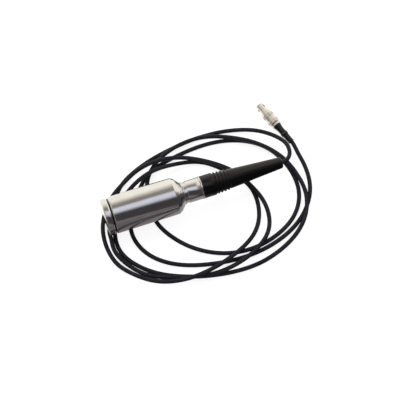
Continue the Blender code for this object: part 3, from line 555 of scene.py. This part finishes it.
def two_tone(tree, shader, value, dark, light):
    """Base Color runs from dark to light as the value goes from low to high."""
    tones = new_node(tree, "ShaderNodeValToRGB", {"Fac": value})
    fill_ramp(tones, [(TONE_LOW, dark), (TONE_HIGH, light)])
    tree.links.new(tones.outputs["Color"], shader.inputs["Base Color"])


def vary_roughness(tree, shader, value, low, high):
    spread = new_node(
        tree, "ShaderNodeMapRange", {"Value": value, "To Min": low, "To Max": high}
    )
    tree.links.new(spread.outputs["Result"], shader.inputs["Roughness"])


def add_bump(tree, shader, height, strength, distance):
    bump = new_node(
        tree,
        "ShaderNodeBump",
        {"Height": height, "Strength": strength, "Distance": distance},
    )
    tree.links.new(bump.outputs["Normal"], shader.inputs["Normal"])


def metal(name, dark, light, roughness, rings=2500.0, bump=0.12):
    """A turned or drawn metal with fine rings round its axis."""
    material, tree, shader = start_finish(name, roughness, 1.0)
    marks = new_node(tree, "ShaderNodeGroup", node_tree=turned_marks)
    marks.inputs["Rings"].default_value = rings
    two_tone(tree, shader, marks.outputs["Blotches"], dark, light)
    vary_roughness(tree, shader, marks.outputs["Rings"], roughness * 0.7, roughness * 1.3)
    add_bump(tree, shader, marks.outputs["Rings"], bump, RING_DEPTH)
    return material


def moulded(name, dark, light, roughness, bump=0.15, **sockets):
    """Rubber or plastic with the skin that its mould gave it."""
    material, tree, shader = start_finish(name, roughness, 0.0, **sockets)
    skin = new_node(tree, "ShaderNodeGroup", node_tree=moulded_skin)
    two_tone(tree, shader, skin.outputs["Patches"], dark, light)
    vary_roughness(tree, shader, skin.outputs["Patches"], roughness * 0.85, roughness * 1.15)
    add_bump(tree, shader, skin.outputs["Grain"], bump, GRAIN_DEPTH)
    return material


finishes = {
    "nickel_brass": metal("nickel_plated_brass", (0.6, 0.55, 0.47), (0.72, 0.67, 0.58), 0.3),
    "stainless_steel": metal(
        "polished_stainless", (0.74, 0.73, 0.71), (0.8, 0.79, 0.77), 0.12, bump=0.05
    ),
    "plug_chrome": metal("satin_nickel", (0.78, 0.75, 0.7), (0.86, 0.83, 0.79), 0.34),
    "knurled_nickel": metal("knurled_nickel", (0.64, 0.6, 0.58), (0.74, 0.7, 0.68), 0.38),
    # Painted shade: darker nickel for the nut's tail, which sits deep in the gap before the
    # shell.
    "shaded_nickel": metal("shaded_nickel", (0.42, 0.38, 0.33), (0.52, 0.47, 0.41), 0.5),
    "soft_iron": metal("plated_iron", (0.42, 0.42, 0.43), (0.5, 0.5, 0.51), 0.4),
    "magnet_alloy": metal("ground_magnet", (0.3, 0.3, 0.32), (0.38, 0.38, 0.4), 0.45),
    "brass": metal("turned_brass", (0.66, 0.47, 0.22), (0.76, 0.58, 0.3), 0.3),
    "gold_contact": metal("gold_plate", (0.88, 0.64, 0.26), (0.95, 0.73, 0.34), 0.2),
    "enamelled_copper": metal(
        "wound_copper", (0.5, 0.17, 0.06), (0.66, 0.27, 0.1), 0.35, rings=5000.0, bump=0.8
    ),
    "aluminium": metal("turned_aluminium", (0.68, 0.69, 0.71), (0.76, 0.77, 0.79), 0.35),
    "spring_bronze": metal("etched_bronze", (0.6, 0.38, 0.2), (0.7, 0.47, 0.27), 0.3),
    "black_rubber": moulded(
        "black_rubber", (0.002, 0.002, 0.0022), (0.0035, 0.0035, 0.004), 0.2, 0.03,
        IOR=1.42, Sheen_Weight=0.08, Sheen_Roughness=0.3,
    ),
    "button_rubber": moulded(
        "button_rubber", (0.003, 0.003, 0.0035), (0.005, 0.005, 0.006), 0.14, IOR=1.6,
    ),
    "cable_jacket": moulded(
        "cable_jacket", (0.012, 0.012, 0.016), (0.018, 0.018, 0.0235), 0.45, IOR=1.2,
    ),
    "insulator_plastic": moulded("ivory_plastic", (0.7, 0.65, 0.53), (0.78, 0.73, 0.61), 0.45),
    "board_laminate": moulded("green_laminate", (0.03, 0.17, 0.07), (0.05, 0.22, 0.09), 0.5),
    "lead_insulation": moulded("red_insulation", (0.45, 0.04, 0.03), (0.55, 0.06, 0.05), 0.45),
}
slot_of = {part["node"]: part["material_slot"] for part in frame["record"]["subparts"]}
for name, node in frame["nodes"].items():
    node.data.materials.clear()
    node.data.materials.append(finishes[slot_of[name]])
frame["nodes"]["latch_sleeve"].data.materials[0] = finishes["nickel_brass"]
print("finishes:", len(finishes))


# %% [markdown]
# Almost every piece here came off a lathe or out of a round mould, so one tool makes them: a
# closed outline of (distance along the axis, radius) is spun round the axis. A third number
# rounds that corner, because a real edge always carries a thin highlight.


# %% Make the turning tool
BODY_SIDES = 160
PLUG_SIDES = 96
ARC_STEPS = 5
MERGE = 0.0005 * MM
SHARP_ANGLE = math.radians(40)
print("sides on the housing and on the plug:", BODY_SIDES, "and", PLUG_SIDES)


def outline(*corners):
    """The closed outline through the corners, in millimetres, with rounded ones as arcs."""
    points = []
    for i, corner in enumerate(corners):
        here = Vector(corner[:2])
        if len(corner) == 2:
            points.append(here)
            continue
        back = (Vector(corners[i - 1][:2]) - here).normalized()
        ahead = (Vector(corners[(i + 1) % len(corners)][:2]) - here).normalized()
        half = back.angle(ahead) / 2
        centre = here + (back + ahead).normalized() * corner[2] / math.sin(half)
        start = here + back * corner[2] / math.tan(half) - centre
        end = here + ahead * corner[2] / math.tan(half) - centre
        turn = math.pi - 2 * half
        for k in range(ARC_STEPS + 1):
            share = k / ARC_STEPS
            swing = start * math.sin((1 - share) * turn) + end * math.sin(share * turn)
            points.append(centre + swing / math.sin(turn))
    return points


def spin(profile, sides):
    """A closed mesh from spinning the outline round the X axis, in metres."""
    work = bmesh.new()
    ring = [work.verts.new((x * MM, radius * MM, 0)) for x, radius in profile]
    edges = []
    for a, b in zip(ring, ring[1:] + ring[:1]):
        if a.co.y > 0 or b.co.y > 0:
            edges.append(work.edges.new((a, b)))
    bmesh.ops.spin(
        work, geom=ring + edges, cent=(0, 0, 0), axis=(1, 0, 0), angle=2 * math.pi, steps=sides
    )
    bmesh.ops.remove_doubles(work, verts=work.verts, dist=MERGE)
    bmesh.ops.recalc_face_normals(work, faces=work.faces)
    return work


def keep_piece(name, work, slot, body, nodes=(), place=Matrix.Identity(4), finish=None):
    """Turns the mesh into a finished piece that rides on a body and stands for CAD nodes."""
    bmesh.ops.transform(work, matrix=place, verts=work.verts)
    mesh = bpy.data.meshes.new(name)
    work.to_mesh(mesh)
    work.free()
    mesh.shade_smooth()
    mesh.set_sharp_from_angle(angle=SHARP_ANGLE)
    mesh.materials.append(finishes[finish or slot])
    piece = bpy.data.objects.new(name, mesh)
    scene.collection.objects.link(piece)
    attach(piece, body)
    if nodes:
        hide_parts(*nodes)
    return piece


# %% [markdown]
# The contact end is a thick steel cap. Its face is ground flat, its rim has a bright chamfer,
# and a thin dark seal parts it from the housing. The edges on both sides of the seal are
# bevelled, so a bright line runs along the dark one. The housing is one long cylinder that
# rounds into a shoulder and a short cone. Pieces that touch stand a hair apart, as they do in
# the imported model.

# %% Turn the cap, the seal and the housing
SEAT_GAP = 0.05
BODY_RADIUS = 15.0
CAP_LENGTH = 5.0
CAP_CHAMFER = 0.75
SEAL_LENGTH = 1.3
SEAM_BEVEL = 0.85
SEAM_DROP = 0.55
SEAL_RADIUS = BODY_RADIUS - 1.0
BORE_RADIUS = 12.9
SPIGOT_RADIUS = BORE_RADIUS - 0.2
SPIGOT_BORE = 9.0
SPIGOT_END = CAP_LENGTH + 5.8
SEAL_BORE = BORE_RADIUS + 0.2
HOUSING_START = CAP_LENGTH + SEAL_LENGTH
SHOULDER_START = 58.3
SHOULDER_LENGTH = 2.6
SHOULDER_DROP = 1.4
HOUSING_END_RADIUS = 9.45
THREAD_RADIUS = 7.1
NECK_START = 64.9
HEAD_START = 59.3
BOARD_END = 52.15
BOARD_BORE = 11.85

cap = spin(
    outline(
        (0, 0),
        (0, BODY_RADIUS - CAP_CHAMFER, 0.25),
        (CAP_CHAMFER, BODY_RADIUS, 0.25),
        (CAP_LENGTH - SEAM_BEVEL, BODY_RADIUS, 0.25),
        (CAP_LENGTH, BODY_RADIUS - SEAM_DROP, 0.15),
        (CAP_LENGTH, SPIGOT_RADIUS),
        (SPIGOT_END, SPIGOT_RADIUS),
        (SPIGOT_END, SPIGOT_BORE),
        (CAP_LENGTH, SPIGOT_BORE),
        (CAP_LENGTH, 0),
    ),
    BODY_SIDES,
)
keep_piece("contact_cap", cap, "stainless_steel", "transducer", ["base_cap"])

seal = spin(
    outline(
        (CAP_LENGTH + SEAT_GAP, SEAL_BORE),
        (CAP_LENGTH + SEAT_GAP, SEAL_RADIUS),
        (HOUSING_START - SEAT_GAP, SEAL_RADIUS),
        (HOUSING_START - SEAT_GAP, SEAL_BORE),
    ),
    BODY_SIDES,
)
keep_piece("joint_seal", seal, "black_rubber", "transducer", ["base_seal"])

barrel = spin(
    outline(
        (HOUSING_START, BORE_RADIUS),
        (HOUSING_START, BODY_RADIUS - SEAM_DROP, 0.15),
        (HOUSING_START + SEAM_BEVEL, BODY_RADIUS, 0.25),
        (SHOULDER_START, BODY_RADIUS, 1.6),
        (SHOULDER_START + SHOULDER_LENGTH, BODY_RADIUS - SHOULDER_DROP, 1.4),
        (NECK_START, HOUSING_END_RADIUS, 0.3),
        (NECK_START, THREAD_RADIUS),
        (HEAD_START, THREAD_RADIUS),
        (BOARD_END + SEAT_GAP, BOARD_BORE),
        (BOARD_END + SEAT_GAP, BORE_RADIUS),
    ),
    BODY_SIDES,
)
keep_piece("barrel", barrel, "stainless_steel", "transducer", ["housing"])
print("housing ends at", NECK_START, "mm")

# %% [markdown]
# The neck screws into the housing and ends in a stepped tail inside the strain relief. A groove
# marks where it meets the shoulder, and a thin polished ring closes it against the rubber.

# %% Turn the neck and its ring
NECK_RADIUS = 9.1
NECK_END = NECK_START + SEAT_GAP + 14.8
NECK_BORE = 4.8
NECK_BORE_END = NECK_START + 9.15
SCREW_RADIUS = 6.9
GROOVE_START = NECK_START + 1.35
GROOVE_END = GROOVE_START + 2.2
GROOVE_DEPTH = 0.6
TAIL_RADIUS = 5.6
TAIL_END = NECK_END + 12.0
TAIL_TIP = 1.0
TAIL_STEP = 0.5
CABLE_BORE = 2.05
RING_START = NECK_END + SEAT_GAP
RING_END = RING_START + 1.4
RING_RADIUS = 9.4
TAIL_SEAT = TAIL_RADIUS + 0.2

neck = spin(
    outline(
        (HEAD_START, NECK_BORE),
        (HEAD_START, SCREW_RADIUS),
        (NECK_START + SEAT_GAP, SCREW_RADIUS),
        (NECK_START + SEAT_GAP, NECK_RADIUS, 0.2),
        (GROOVE_START, NECK_RADIUS, 0.2),
        (GROOVE_START, NECK_RADIUS - GROOVE_DEPTH),
        (GROOVE_END, NECK_RADIUS - GROOVE_DEPTH),
        (GROOVE_END, NECK_RADIUS, 0.2),
        (NECK_END, NECK_RADIUS, 0.15),
        (NECK_END, TAIL_RADIUS),
        (TAIL_END - TAIL_TIP, TAIL_RADIUS),
        (TAIL_END - TAIL_TIP, TAIL_RADIUS - TAIL_STEP),
        (TAIL_END, TAIL_RADIUS - TAIL_STEP),
        (TAIL_END, CABLE_BORE),
        (NECK_BORE_END, CABLE_BORE),
        (NECK_BORE_END, NECK_BORE),
    ),
    BODY_SIDES,
)
keep_piece("neck", neck, "stainless_steel", "transducer", ["neck_sleeve"])

ring = spin(
    outline(
        (RING_START, TAIL_SEAT),
        (RING_START, RING_RADIUS, 0.3),
        (RING_END, RING_RADIUS, 0.3),
        (RING_END, TAIL_SEAT),
    ),
    BODY_SIDES,
)
keep_piece("bright_ring", ring, "stainless_steel", "transducer", ["neck_ring"])
print("neck ends at", round(NECK_END, 2), "mm and its ring at", round(RING_END, 2), "mm")

# %% [markdown]
# The strain relief is one rubber moulding: a collar, four soft ribs that let it bend, and a
# long taper to the cable. The ribs repeat by a rule, so Geometry Nodes set them out on the
# core: one rounded ring, placed once for each rib, each a little smaller than the last.

# %% Mould the strain relief
BOOT_RADIUS = 9.2
BOOT_START = RING_END + SEAT_GAP
RIB_START = BOOT_START + 10.2
RIB_COUNT = 4
RIB_PITCH = 2.85
RIB_END = RIB_START + RIB_COUNT * RIB_PITCH
VALLEY_DEPTH = 1.1
TAPER_RADIUS = 7.9
TAPER_STEP = 0.5
TIP_RADIUS = 4.6
BOOT_TIP = BOOT_START + 68.8

boot = spin(
    outline(
        (BOOT_START, BOOT_RADIUS, 0.6),
        (RIB_START, BOOT_RADIUS, 0.35),
        (RIB_START + 0.3, BOOT_RADIUS - VALLEY_DEPTH, 0.2),
        (RIB_END + 0.8, TAPER_RADIUS - TAPER_STEP, 0.2),
        (RIB_END + 1.4, TAPER_RADIUS, 0.4),
        (BOOT_TIP, TIP_RADIUS, 1.5),
        (BOOT_TIP, CABLE_BORE, 0.3),
        (TAIL_END + SEAT_GAP, CABLE_BORE),
        (TAIL_END + SEAT_GAP, TAIL_SEAT),
        (BOOT_START, TAIL_SEAT),
    ),
    BODY_SIDES,
)
keep_piece("boot", boot, "black_rubber", "transducer", ["strain_relief"])
print("strain relief ends at", round(BOOT_TIP, 2), "mm")


# %% Set out the ribs with Geometry Nodes
def new_geometry_tree(name, inputs):
    """A Geometry Nodes tree with named inputs, and a place for the geometry to come out."""
    tree = bpy.data.node_groups.new(name, "GeometryNodeTree")
    for label, kind, value in inputs:
        socket = tree.interface.new_socket(label, in_out="INPUT", socket_type=kind)
        if value is not None:
            socket.default_value = value
    tree.interface.new_socket("Geometry", in_out="OUTPUT", socket_type="NodeSocketGeometry")
    return tree, tree.nodes.new("NodeGroupInput"), tree.nodes.new("NodeGroupOutput")


def math_node(tree, operation, first, second):
    node = new_node(tree, "ShaderNodeMath", {0: first, 1: second}, operation=operation)
    return node.outputs[0]


def close_tree(tree, given, out, instances):
    """Ends the tree in Realize Instances and Set Material."""
    real = new_node(tree, "GeometryNodeRealizeInstances", {"Geometry": instances})
    coated = new_node(
        tree,
        "GeometryNodeSetMaterial",
        {"Geometry": real.outputs[0], "Material": given.outputs["Material"]},
    )
    tree.links.new(coated.outputs[0], out.inputs["Geometry"])


def grow(name, tree, values, slot, body, place=Matrix.Identity(4), finish=None):
    """Runs a tree with these values, and keeps what it makes as one plain mesh."""
    seed = bpy.data.objects.new(name, bpy.data.meshes.new(name))
    scene.collection.objects.link(seed)
    step = seed.modifiers.new("set_out", "NODES")
    step.node_group = tree
    for item in tree.interface.items_tree:
        if item.in_out == "INPUT":
            step[item.identifier] = values.get(item.name, finishes[finish or slot])
    graph = bpy.context.evaluated_depsgraph_get()
    mesh = bpy.data.meshes.new_from_object(seed.evaluated_get(graph))
    bpy.data.objects.remove(seed)
    mesh.transform(place)
    mesh.shade_smooth()
    mesh.set_sharp_from_angle(angle=SHARP_ANGLE)
    piece = bpy.data.objects.new(name, mesh)
    scene.collection.objects.link(piece)
    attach(piece, body)
    return piece


FLOAT = "NodeSocketFloat"
RIB_SIDES = 128
RIB_EDGES = 20
rib_tree, given, out = new_geometry_tree(
    "ribs",
    [
        ("Count", "NodeSocketInt", RIB_COUNT),
        ("Start", FLOAT, 0.0),
        ("Pitch", FLOAT, 0.0),
        ("Radius", FLOAT, 0.0),
        ("Fall", FLOAT, 0.0),
        ("Thickness", FLOAT, 0.0),
        ("Material", "NodeSocketMaterial", None),
    ],
)
hoop = new_node(rib_tree, "GeometryNodeCurvePrimitiveCircle", {"Resolution": RIB_SIDES})
rib_tree.links.new(given.outputs["Radius"], hoop.inputs["Radius"])
section = new_node(rib_tree, "GeometryNodeCurvePrimitiveCircle", {"Resolution": RIB_EDGES})
rib_tree.links.new(given.outputs["Thickness"], section.inputs["Radius"])
rib = new_node(
    rib_tree,
    "GeometryNodeCurveToMesh",
    {"Curve": hoop.outputs[0], "Profile Curve": section.outputs[0]},
)
number = new_node(rib_tree, "GeometryNodeInputIndex").outputs[0]
shift = math_node(rib_tree, "MULTIPLY", number, given.outputs["Pitch"])
along = math_node(rib_tree, "ADD", shift, given.outputs["Start"])
spot = new_node(rib_tree, "ShaderNodeCombineXYZ", {"X": along})
points = new_node(
    rib_tree,
    "GeometryNodePoints",
    {"Count": given.outputs["Count"], "Position": spot.outputs[0]},
)
loss = math_node(rib_tree, "MULTIPLY", number, given.outputs["Fall"])
size = math_node(rib_tree, "SUBTRACT", 1.0, loss)
scale = new_node(rib_tree, "ShaderNodeCombineXYZ", {"X": size, "Y": size, "Z": 1.0})
placed = new_node(
    rib_tree,
    "GeometryNodeInstanceOnPoints",
    {
        "Points": points.outputs[0],
        "Instance": rib.outputs[0],
        "Rotation": (0, math.pi / 2, 0),
        "Scale": scale.outputs[0],
    },
)
close_tree(rib_tree, given, out, placed.outputs[0])

RIB_THICKNESS = 0.78
RIB_CREST = 9.05
RIB_FALL = 0.018
FIRST_RIB = RIB_START + RIB_PITCH * 0.72
grow(
    "boot_ribs",
    rib_tree,
    {
        "Count": RIB_COUNT,
        "Start": FIRST_RIB * MM,
        "Pitch": RIB_PITCH * MM,
        "Radius": (RIB_CREST - RIB_THICKNESS) * MM,
        "Fall": RIB_FALL,
        "Thickness": RIB_THICKNESS * MM,
    },
    "black_rubber",
    "transducer",
)
print("ribs on the strain relief:", RIB_COUNT)

# %% [markdown]
# The plug lies on the table at its own angle, with its nose a little up, so it is made along the
# X axis like the rest and then placed. From the cable: a black sleeve with a collar and a small
# domed button, a bend relief, a bright clamping nut, and the release shell with its two knurled
# bands, cone and nose. The nut's tail is duller and carries painted shade, a darker colour, so
# it shows as a dark ring before the shell.

# %% Turn the plug's rear end
PLUG_END = Vector((168.5, 22.7, 0)) * MM
PLUG_AZIMUTH = math.radians(110.2)
PLUG_TILT = math.radians(5.5)
PLUG_HEIGHT = 2.7 * MM
LATCH_ROLL = math.radians(-35)
BUTTON_ROLL = math.radians(23)

level = Vector((math.cos(PLUG_AZIMUTH), math.sin(PLUG_AZIMUTH), 0))
plug_axis = level * math.cos(PLUG_TILT) + Vector((0, 0, math.sin(PLUG_TILT)))
plug_side = Vector((0, 0, 1)).cross(plug_axis).normalized()
plug_turn = Matrix((plug_axis, plug_side, plug_axis.cross(plug_side))).transposed().to_4x4()
plug_place = Matrix.Translation(PLUG_END + Vector((0, 0, SURFACE + PLUG_HEIGHT))) @ plug_turn

SLEEVE_LENGTH = 10.5
SLEEVE_LIP = 2.65
SLEEVE_RADIUS = 2.4
COLLAR_START = 7.6
COLLAR_RADIUS = 3.1
BUTTON_PLACE = 9.0
BUTTON_RADIUS = 1.2
BUTTON_TOP = 3.6
RELIEF_START = SLEEVE_LENGTH + SEAT_GAP
RELIEF_END = RELIEF_START + 8.0
RELIEF_RADIUS = 2.7
RELIEF_FLARE = 3.6
NUT_START = RELIEF_END + SEAT_GAP
NUT_END = NUT_START + 1.75
NUT_RADIUS = 4.4
NUT_TAIL_RADIUS = 3.1

sleeve = spin(
    outline(
        (0, CABLE_BORE, 0.1),
        (0, SLEEVE_LIP, 0.2),
        (0.75, SLEEVE_LIP, 0.2),
        (1.0, SLEEVE_RADIUS, 0.1),
        (COLLAR_START - 0.25, SLEEVE_RADIUS + 0.2, 0.2),
        (COLLAR_START + 0.25, COLLAR_RADIUS, 0.25),
        (SLEEVE_LENGTH, COLLAR_RADIUS, 0.5),
        (SLEEVE_LENGTH, CABLE_BORE),
    ),
    PLUG_SIDES,
)
sleeve_piece = keep_piece(
    "plug_sleeve", sleeve, "black_rubber", "transducer", ["rear_sleeve"], plug_place
)

button = spin(
    outline(
        (2.5, 0), (2.5, BUTTON_RADIUS), (BUTTON_TOP, BUTTON_RADIUS, 0.55), (BUTTON_TOP, 0)
    ),
    PLUG_SIDES,
)
button_place = (
    Matrix.Translation((BUTTON_PLACE * MM, 0, 0))
    @ Matrix.Rotation(-BUTTON_ROLL, 4, "X")
    @ Matrix.Rotation(-math.pi / 2, 4, "Y")
)
button_piece = keep_piece(
    "sleeve_button", button, "black_rubber", "transducer", (), plug_place @ button_place,
    "button_rubber",
)

relief = spin(
    outline(
        (RELIEF_START, CABLE_BORE),
        (RELIEF_START, RELIEF_RADIUS, 0.2),
        (RELIEF_START + 4.0, RELIEF_RADIUS, 1.5),
        (RELIEF_END, RELIEF_FLARE, 0.3),
        (RELIEF_END, CABLE_BORE),
    ),
    PLUG_SIDES,
)
relief_piece = keep_piece(
    "plug_relief", relief, "black_rubber", "transducer", ["bend_relief"], plug_place
)

SHELL_START = NUT_END + 0.9
NUT_TAIL_END = SHELL_START + 5.025
nut = spin(
    outline(
        (NUT_START, CABLE_BORE),
        (NUT_START, NUT_RADIUS, 0.35),
        (NUT_END, NUT_RADIUS, 0.2),
        (NUT_END, CABLE_BORE),
    ),
    PLUG_SIDES,
)
nut_piece = keep_piece("plug_nut", nut, "plug_chrome", "transducer", ["collet_nut"], plug_place)
nut_tail = spin(
    outline(
        (NUT_END + 0.01, CABLE_BORE),
        (NUT_END + 0.01, NUT_TAIL_RADIUS),
        (NUT_TAIL_END, NUT_TAIL_RADIUS),
        (NUT_TAIL_END, CABLE_BORE),
    ),
    PLUG_SIDES,
)
# The tail's darker nickel is painted shade for the gap between the nut and the shell.
tail_piece = keep_piece(
    "nut_tail", nut_tail, "plug_chrome", "transducer", ["collet_nut"], plug_place, "shaded_nickel"
)
print("nut ends at", round(NUT_END, 2), "mm along the plug")

# %% Turn the release shell
GRIP_RADIUS = 4.75
GRIP_STEP = 0.25
CONE_START = SHELL_START + 10.05
NOSE_START = CONE_START + 4.9
NOSE_END = NOSE_START + 6.0
NOSE_RADIUS = 3.1
NOSE_BORE = 2.6
SHELL_BORE = NOSE_RADIUS + 0.2
LAND_RADIUS = GRIP_RADIUS - 0.1
BAND_START = SHELL_START + 0.45
BAND_LENGTH = 2.6
SECOND_BAND = CONE_START - 0.45 - BAND_LENGTH

shell = spin(
    outline(
        (SHELL_START, SHELL_BORE),
        (SHELL_START, LAND_RADIUS, 0.15),
        (BAND_START + BAND_LENGTH, LAND_RADIUS, 0.1),
        (BAND_START + BAND_LENGTH + 0.3, GRIP_RADIUS - GRIP_STEP, 0.1),
        (SECOND_BAND - 0.3, GRIP_RADIUS - GRIP_STEP, 0.1),
        (SECOND_BAND, LAND_RADIUS, 0.1),
        (CONE_START, LAND_RADIUS, 0.4),
        (NOSE_START, NOSE_RADIUS, 1.0),
        (NOSE_END, NOSE_RADIUS, 0.2),
        (NOSE_END, NOSE_BORE, 0.1),
        (CONE_START, NOSE_BORE),
        (CONE_START, SHELL_BORE),
    ),
    PLUG_SIDES,
)
shell_piece = keep_piece(
    "plug_shell", shell, "plug_chrome", "release", ["release_shell"], plug_place
)
print("plug length in millimetres:", round(NOSE_END, 1))

# %% [markdown]
# Two windows in the nose let the latch teeth stand out. A long box cuts both at once with an
# exact Boolean, and its result becomes the shell's own mesh.

# %% Cut the latch windows
WINDOW_LENGTH = 3.3
WINDOW_WIDTH = 2.2
WINDOW_FRONT = NOSE_END - 1.5

box = bmesh.new()
bmesh.ops.create_cube(box, size=1.0)
size = (WINDOW_LENGTH * MM, 4 * NOSE_RADIUS * MM, WINDOW_WIDTH * MM)
centre = ((WINDOW_FRONT - WINDOW_LENGTH / 2) * MM, 0, 0)
bmesh.ops.transform(
    box,
    matrix=plug_place
    @ Matrix.Rotation(LATCH_ROLL, 4, "X")
    @ Matrix.Translation(centre)
    @ Matrix.Diagonal((*size, 1.0)),
    verts=box.verts,
)
box_mesh = bpy.data.meshes.new("window_cutter")
box.to_mesh(box_mesh)
box.free()
cutter = bpy.data.objects.new("window_cutter", box_mesh)
scene.collection.objects.link(cutter)
cut = shell_piece.modifiers.new("windows", "BOOLEAN")
cut.operation = "DIFFERENCE"
cut.object = cutter
cut.solver = "EXACT"
graph = bpy.context.evaluated_depsgraph_get()
cut_mesh = bpy.data.meshes.new_from_object(shell_piece.evaluated_get(graph))
shell_piece.modifiers.clear()
shell_piece.data = cut_mesh
cut_mesh.set_sharp_from_angle(angle=SHARP_ANGLE)
bpy.data.objects.remove(cutter)
print("faces on the shell:", len(cut_mesh.polygons))

# %% [markdown]
# The knurl on the grip is a rule too: the same small ridge, set many times round the shell.
# Each ridge is a four-sided bar turned on its edge, so it shows as a V.

# %% Knurl the grip with Geometry Nodes
RIDGE_COUNT = 48
RIDGE_HEIGHT = 0.22

knurl_tree, given, out = new_geometry_tree(
    "knurl",
    [
        ("Count", "NodeSocketInt", RIDGE_COUNT),
        ("Middle", FLOAT, 0.0),
        ("Radius", FLOAT, 0.0),
        ("Length", FLOAT, 0.0),
        ("Ridge", FLOAT, 0.0),
        ("Material", "NodeSocketMaterial", None),
    ],
)
bar = new_node(knurl_tree, "GeometryNodeMeshCylinder", {"Vertices": 4})
knurl_tree.links.new(given.outputs["Ridge"], bar.inputs["Radius"])
knurl_tree.links.new(given.outputs["Length"], bar.inputs["Depth"])
lying = new_node(
    knurl_tree,
    "GeometryNodeTransform",
    {"Geometry": bar.outputs["Mesh"], "Rotation": (0, math.pi / 2, 0)},
)
number = new_node(knurl_tree, "GeometryNodeInputIndex").outputs[0]
step = math_node(knurl_tree, "DIVIDE", 2 * math.pi, given.outputs["Count"])
swing = math_node(knurl_tree, "MULTIPLY", number, step)
side = math_node(knurl_tree, "SINE", swing, 0.0)
rise = math_node(knurl_tree, "COSINE", swing, 0.0)
spot = new_node(
    knurl_tree,
    "ShaderNodeCombineXYZ",
    {
        "X": given.outputs["Middle"],
        "Y": math_node(knurl_tree, "MULTIPLY", side, given.outputs["Radius"]),
        "Z": math_node(knurl_tree, "MULTIPLY", rise, given.outputs["Radius"]),
    },
)
points = new_node(
    knurl_tree,
    "GeometryNodePoints",
    {"Count": given.outputs["Count"], "Position": spot.outputs[0]},
)
lean = new_node(
    knurl_tree, "ShaderNodeCombineXYZ", {"X": math_node(knurl_tree, "MULTIPLY", swing, -1.0)}
)
placed = new_node(
    knurl_tree,
    "GeometryNodeInstanceOnPoints",
    {
        "Points": points.outputs[0],
        "Instance": lying.outputs[0],
        "Rotation": lean.outputs[0],
    },
)
close_tree(knurl_tree, given, out, placed.outputs[0])

for name, start in (("knurl_rear", BAND_START), ("knurl_front", SECOND_BAND)):
    piece = grow(
        name,
        knurl_tree,
        {
            "Count": RIDGE_COUNT,
            "Middle": (start + BAND_LENGTH / 2) * MM,
            "Radius": (GRIP_RADIUS - RIDGE_HEIGHT) * MM,
            "Length": BAND_LENGTH * MM,
            "Ridge": RIDGE_HEIGHT * MM,
        },
        "plug_chrome",
        "release",
        plug_place,
        "knurled_nickel",
    )

# %% [markdown]
# The lead takes its finish, rides on the transducer, and stands in for the model's plain tube.

# %% Finish the cable
cable_curve.materials.append(finishes["cable_jacket"])
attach(lead, "transducer")
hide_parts("cable")
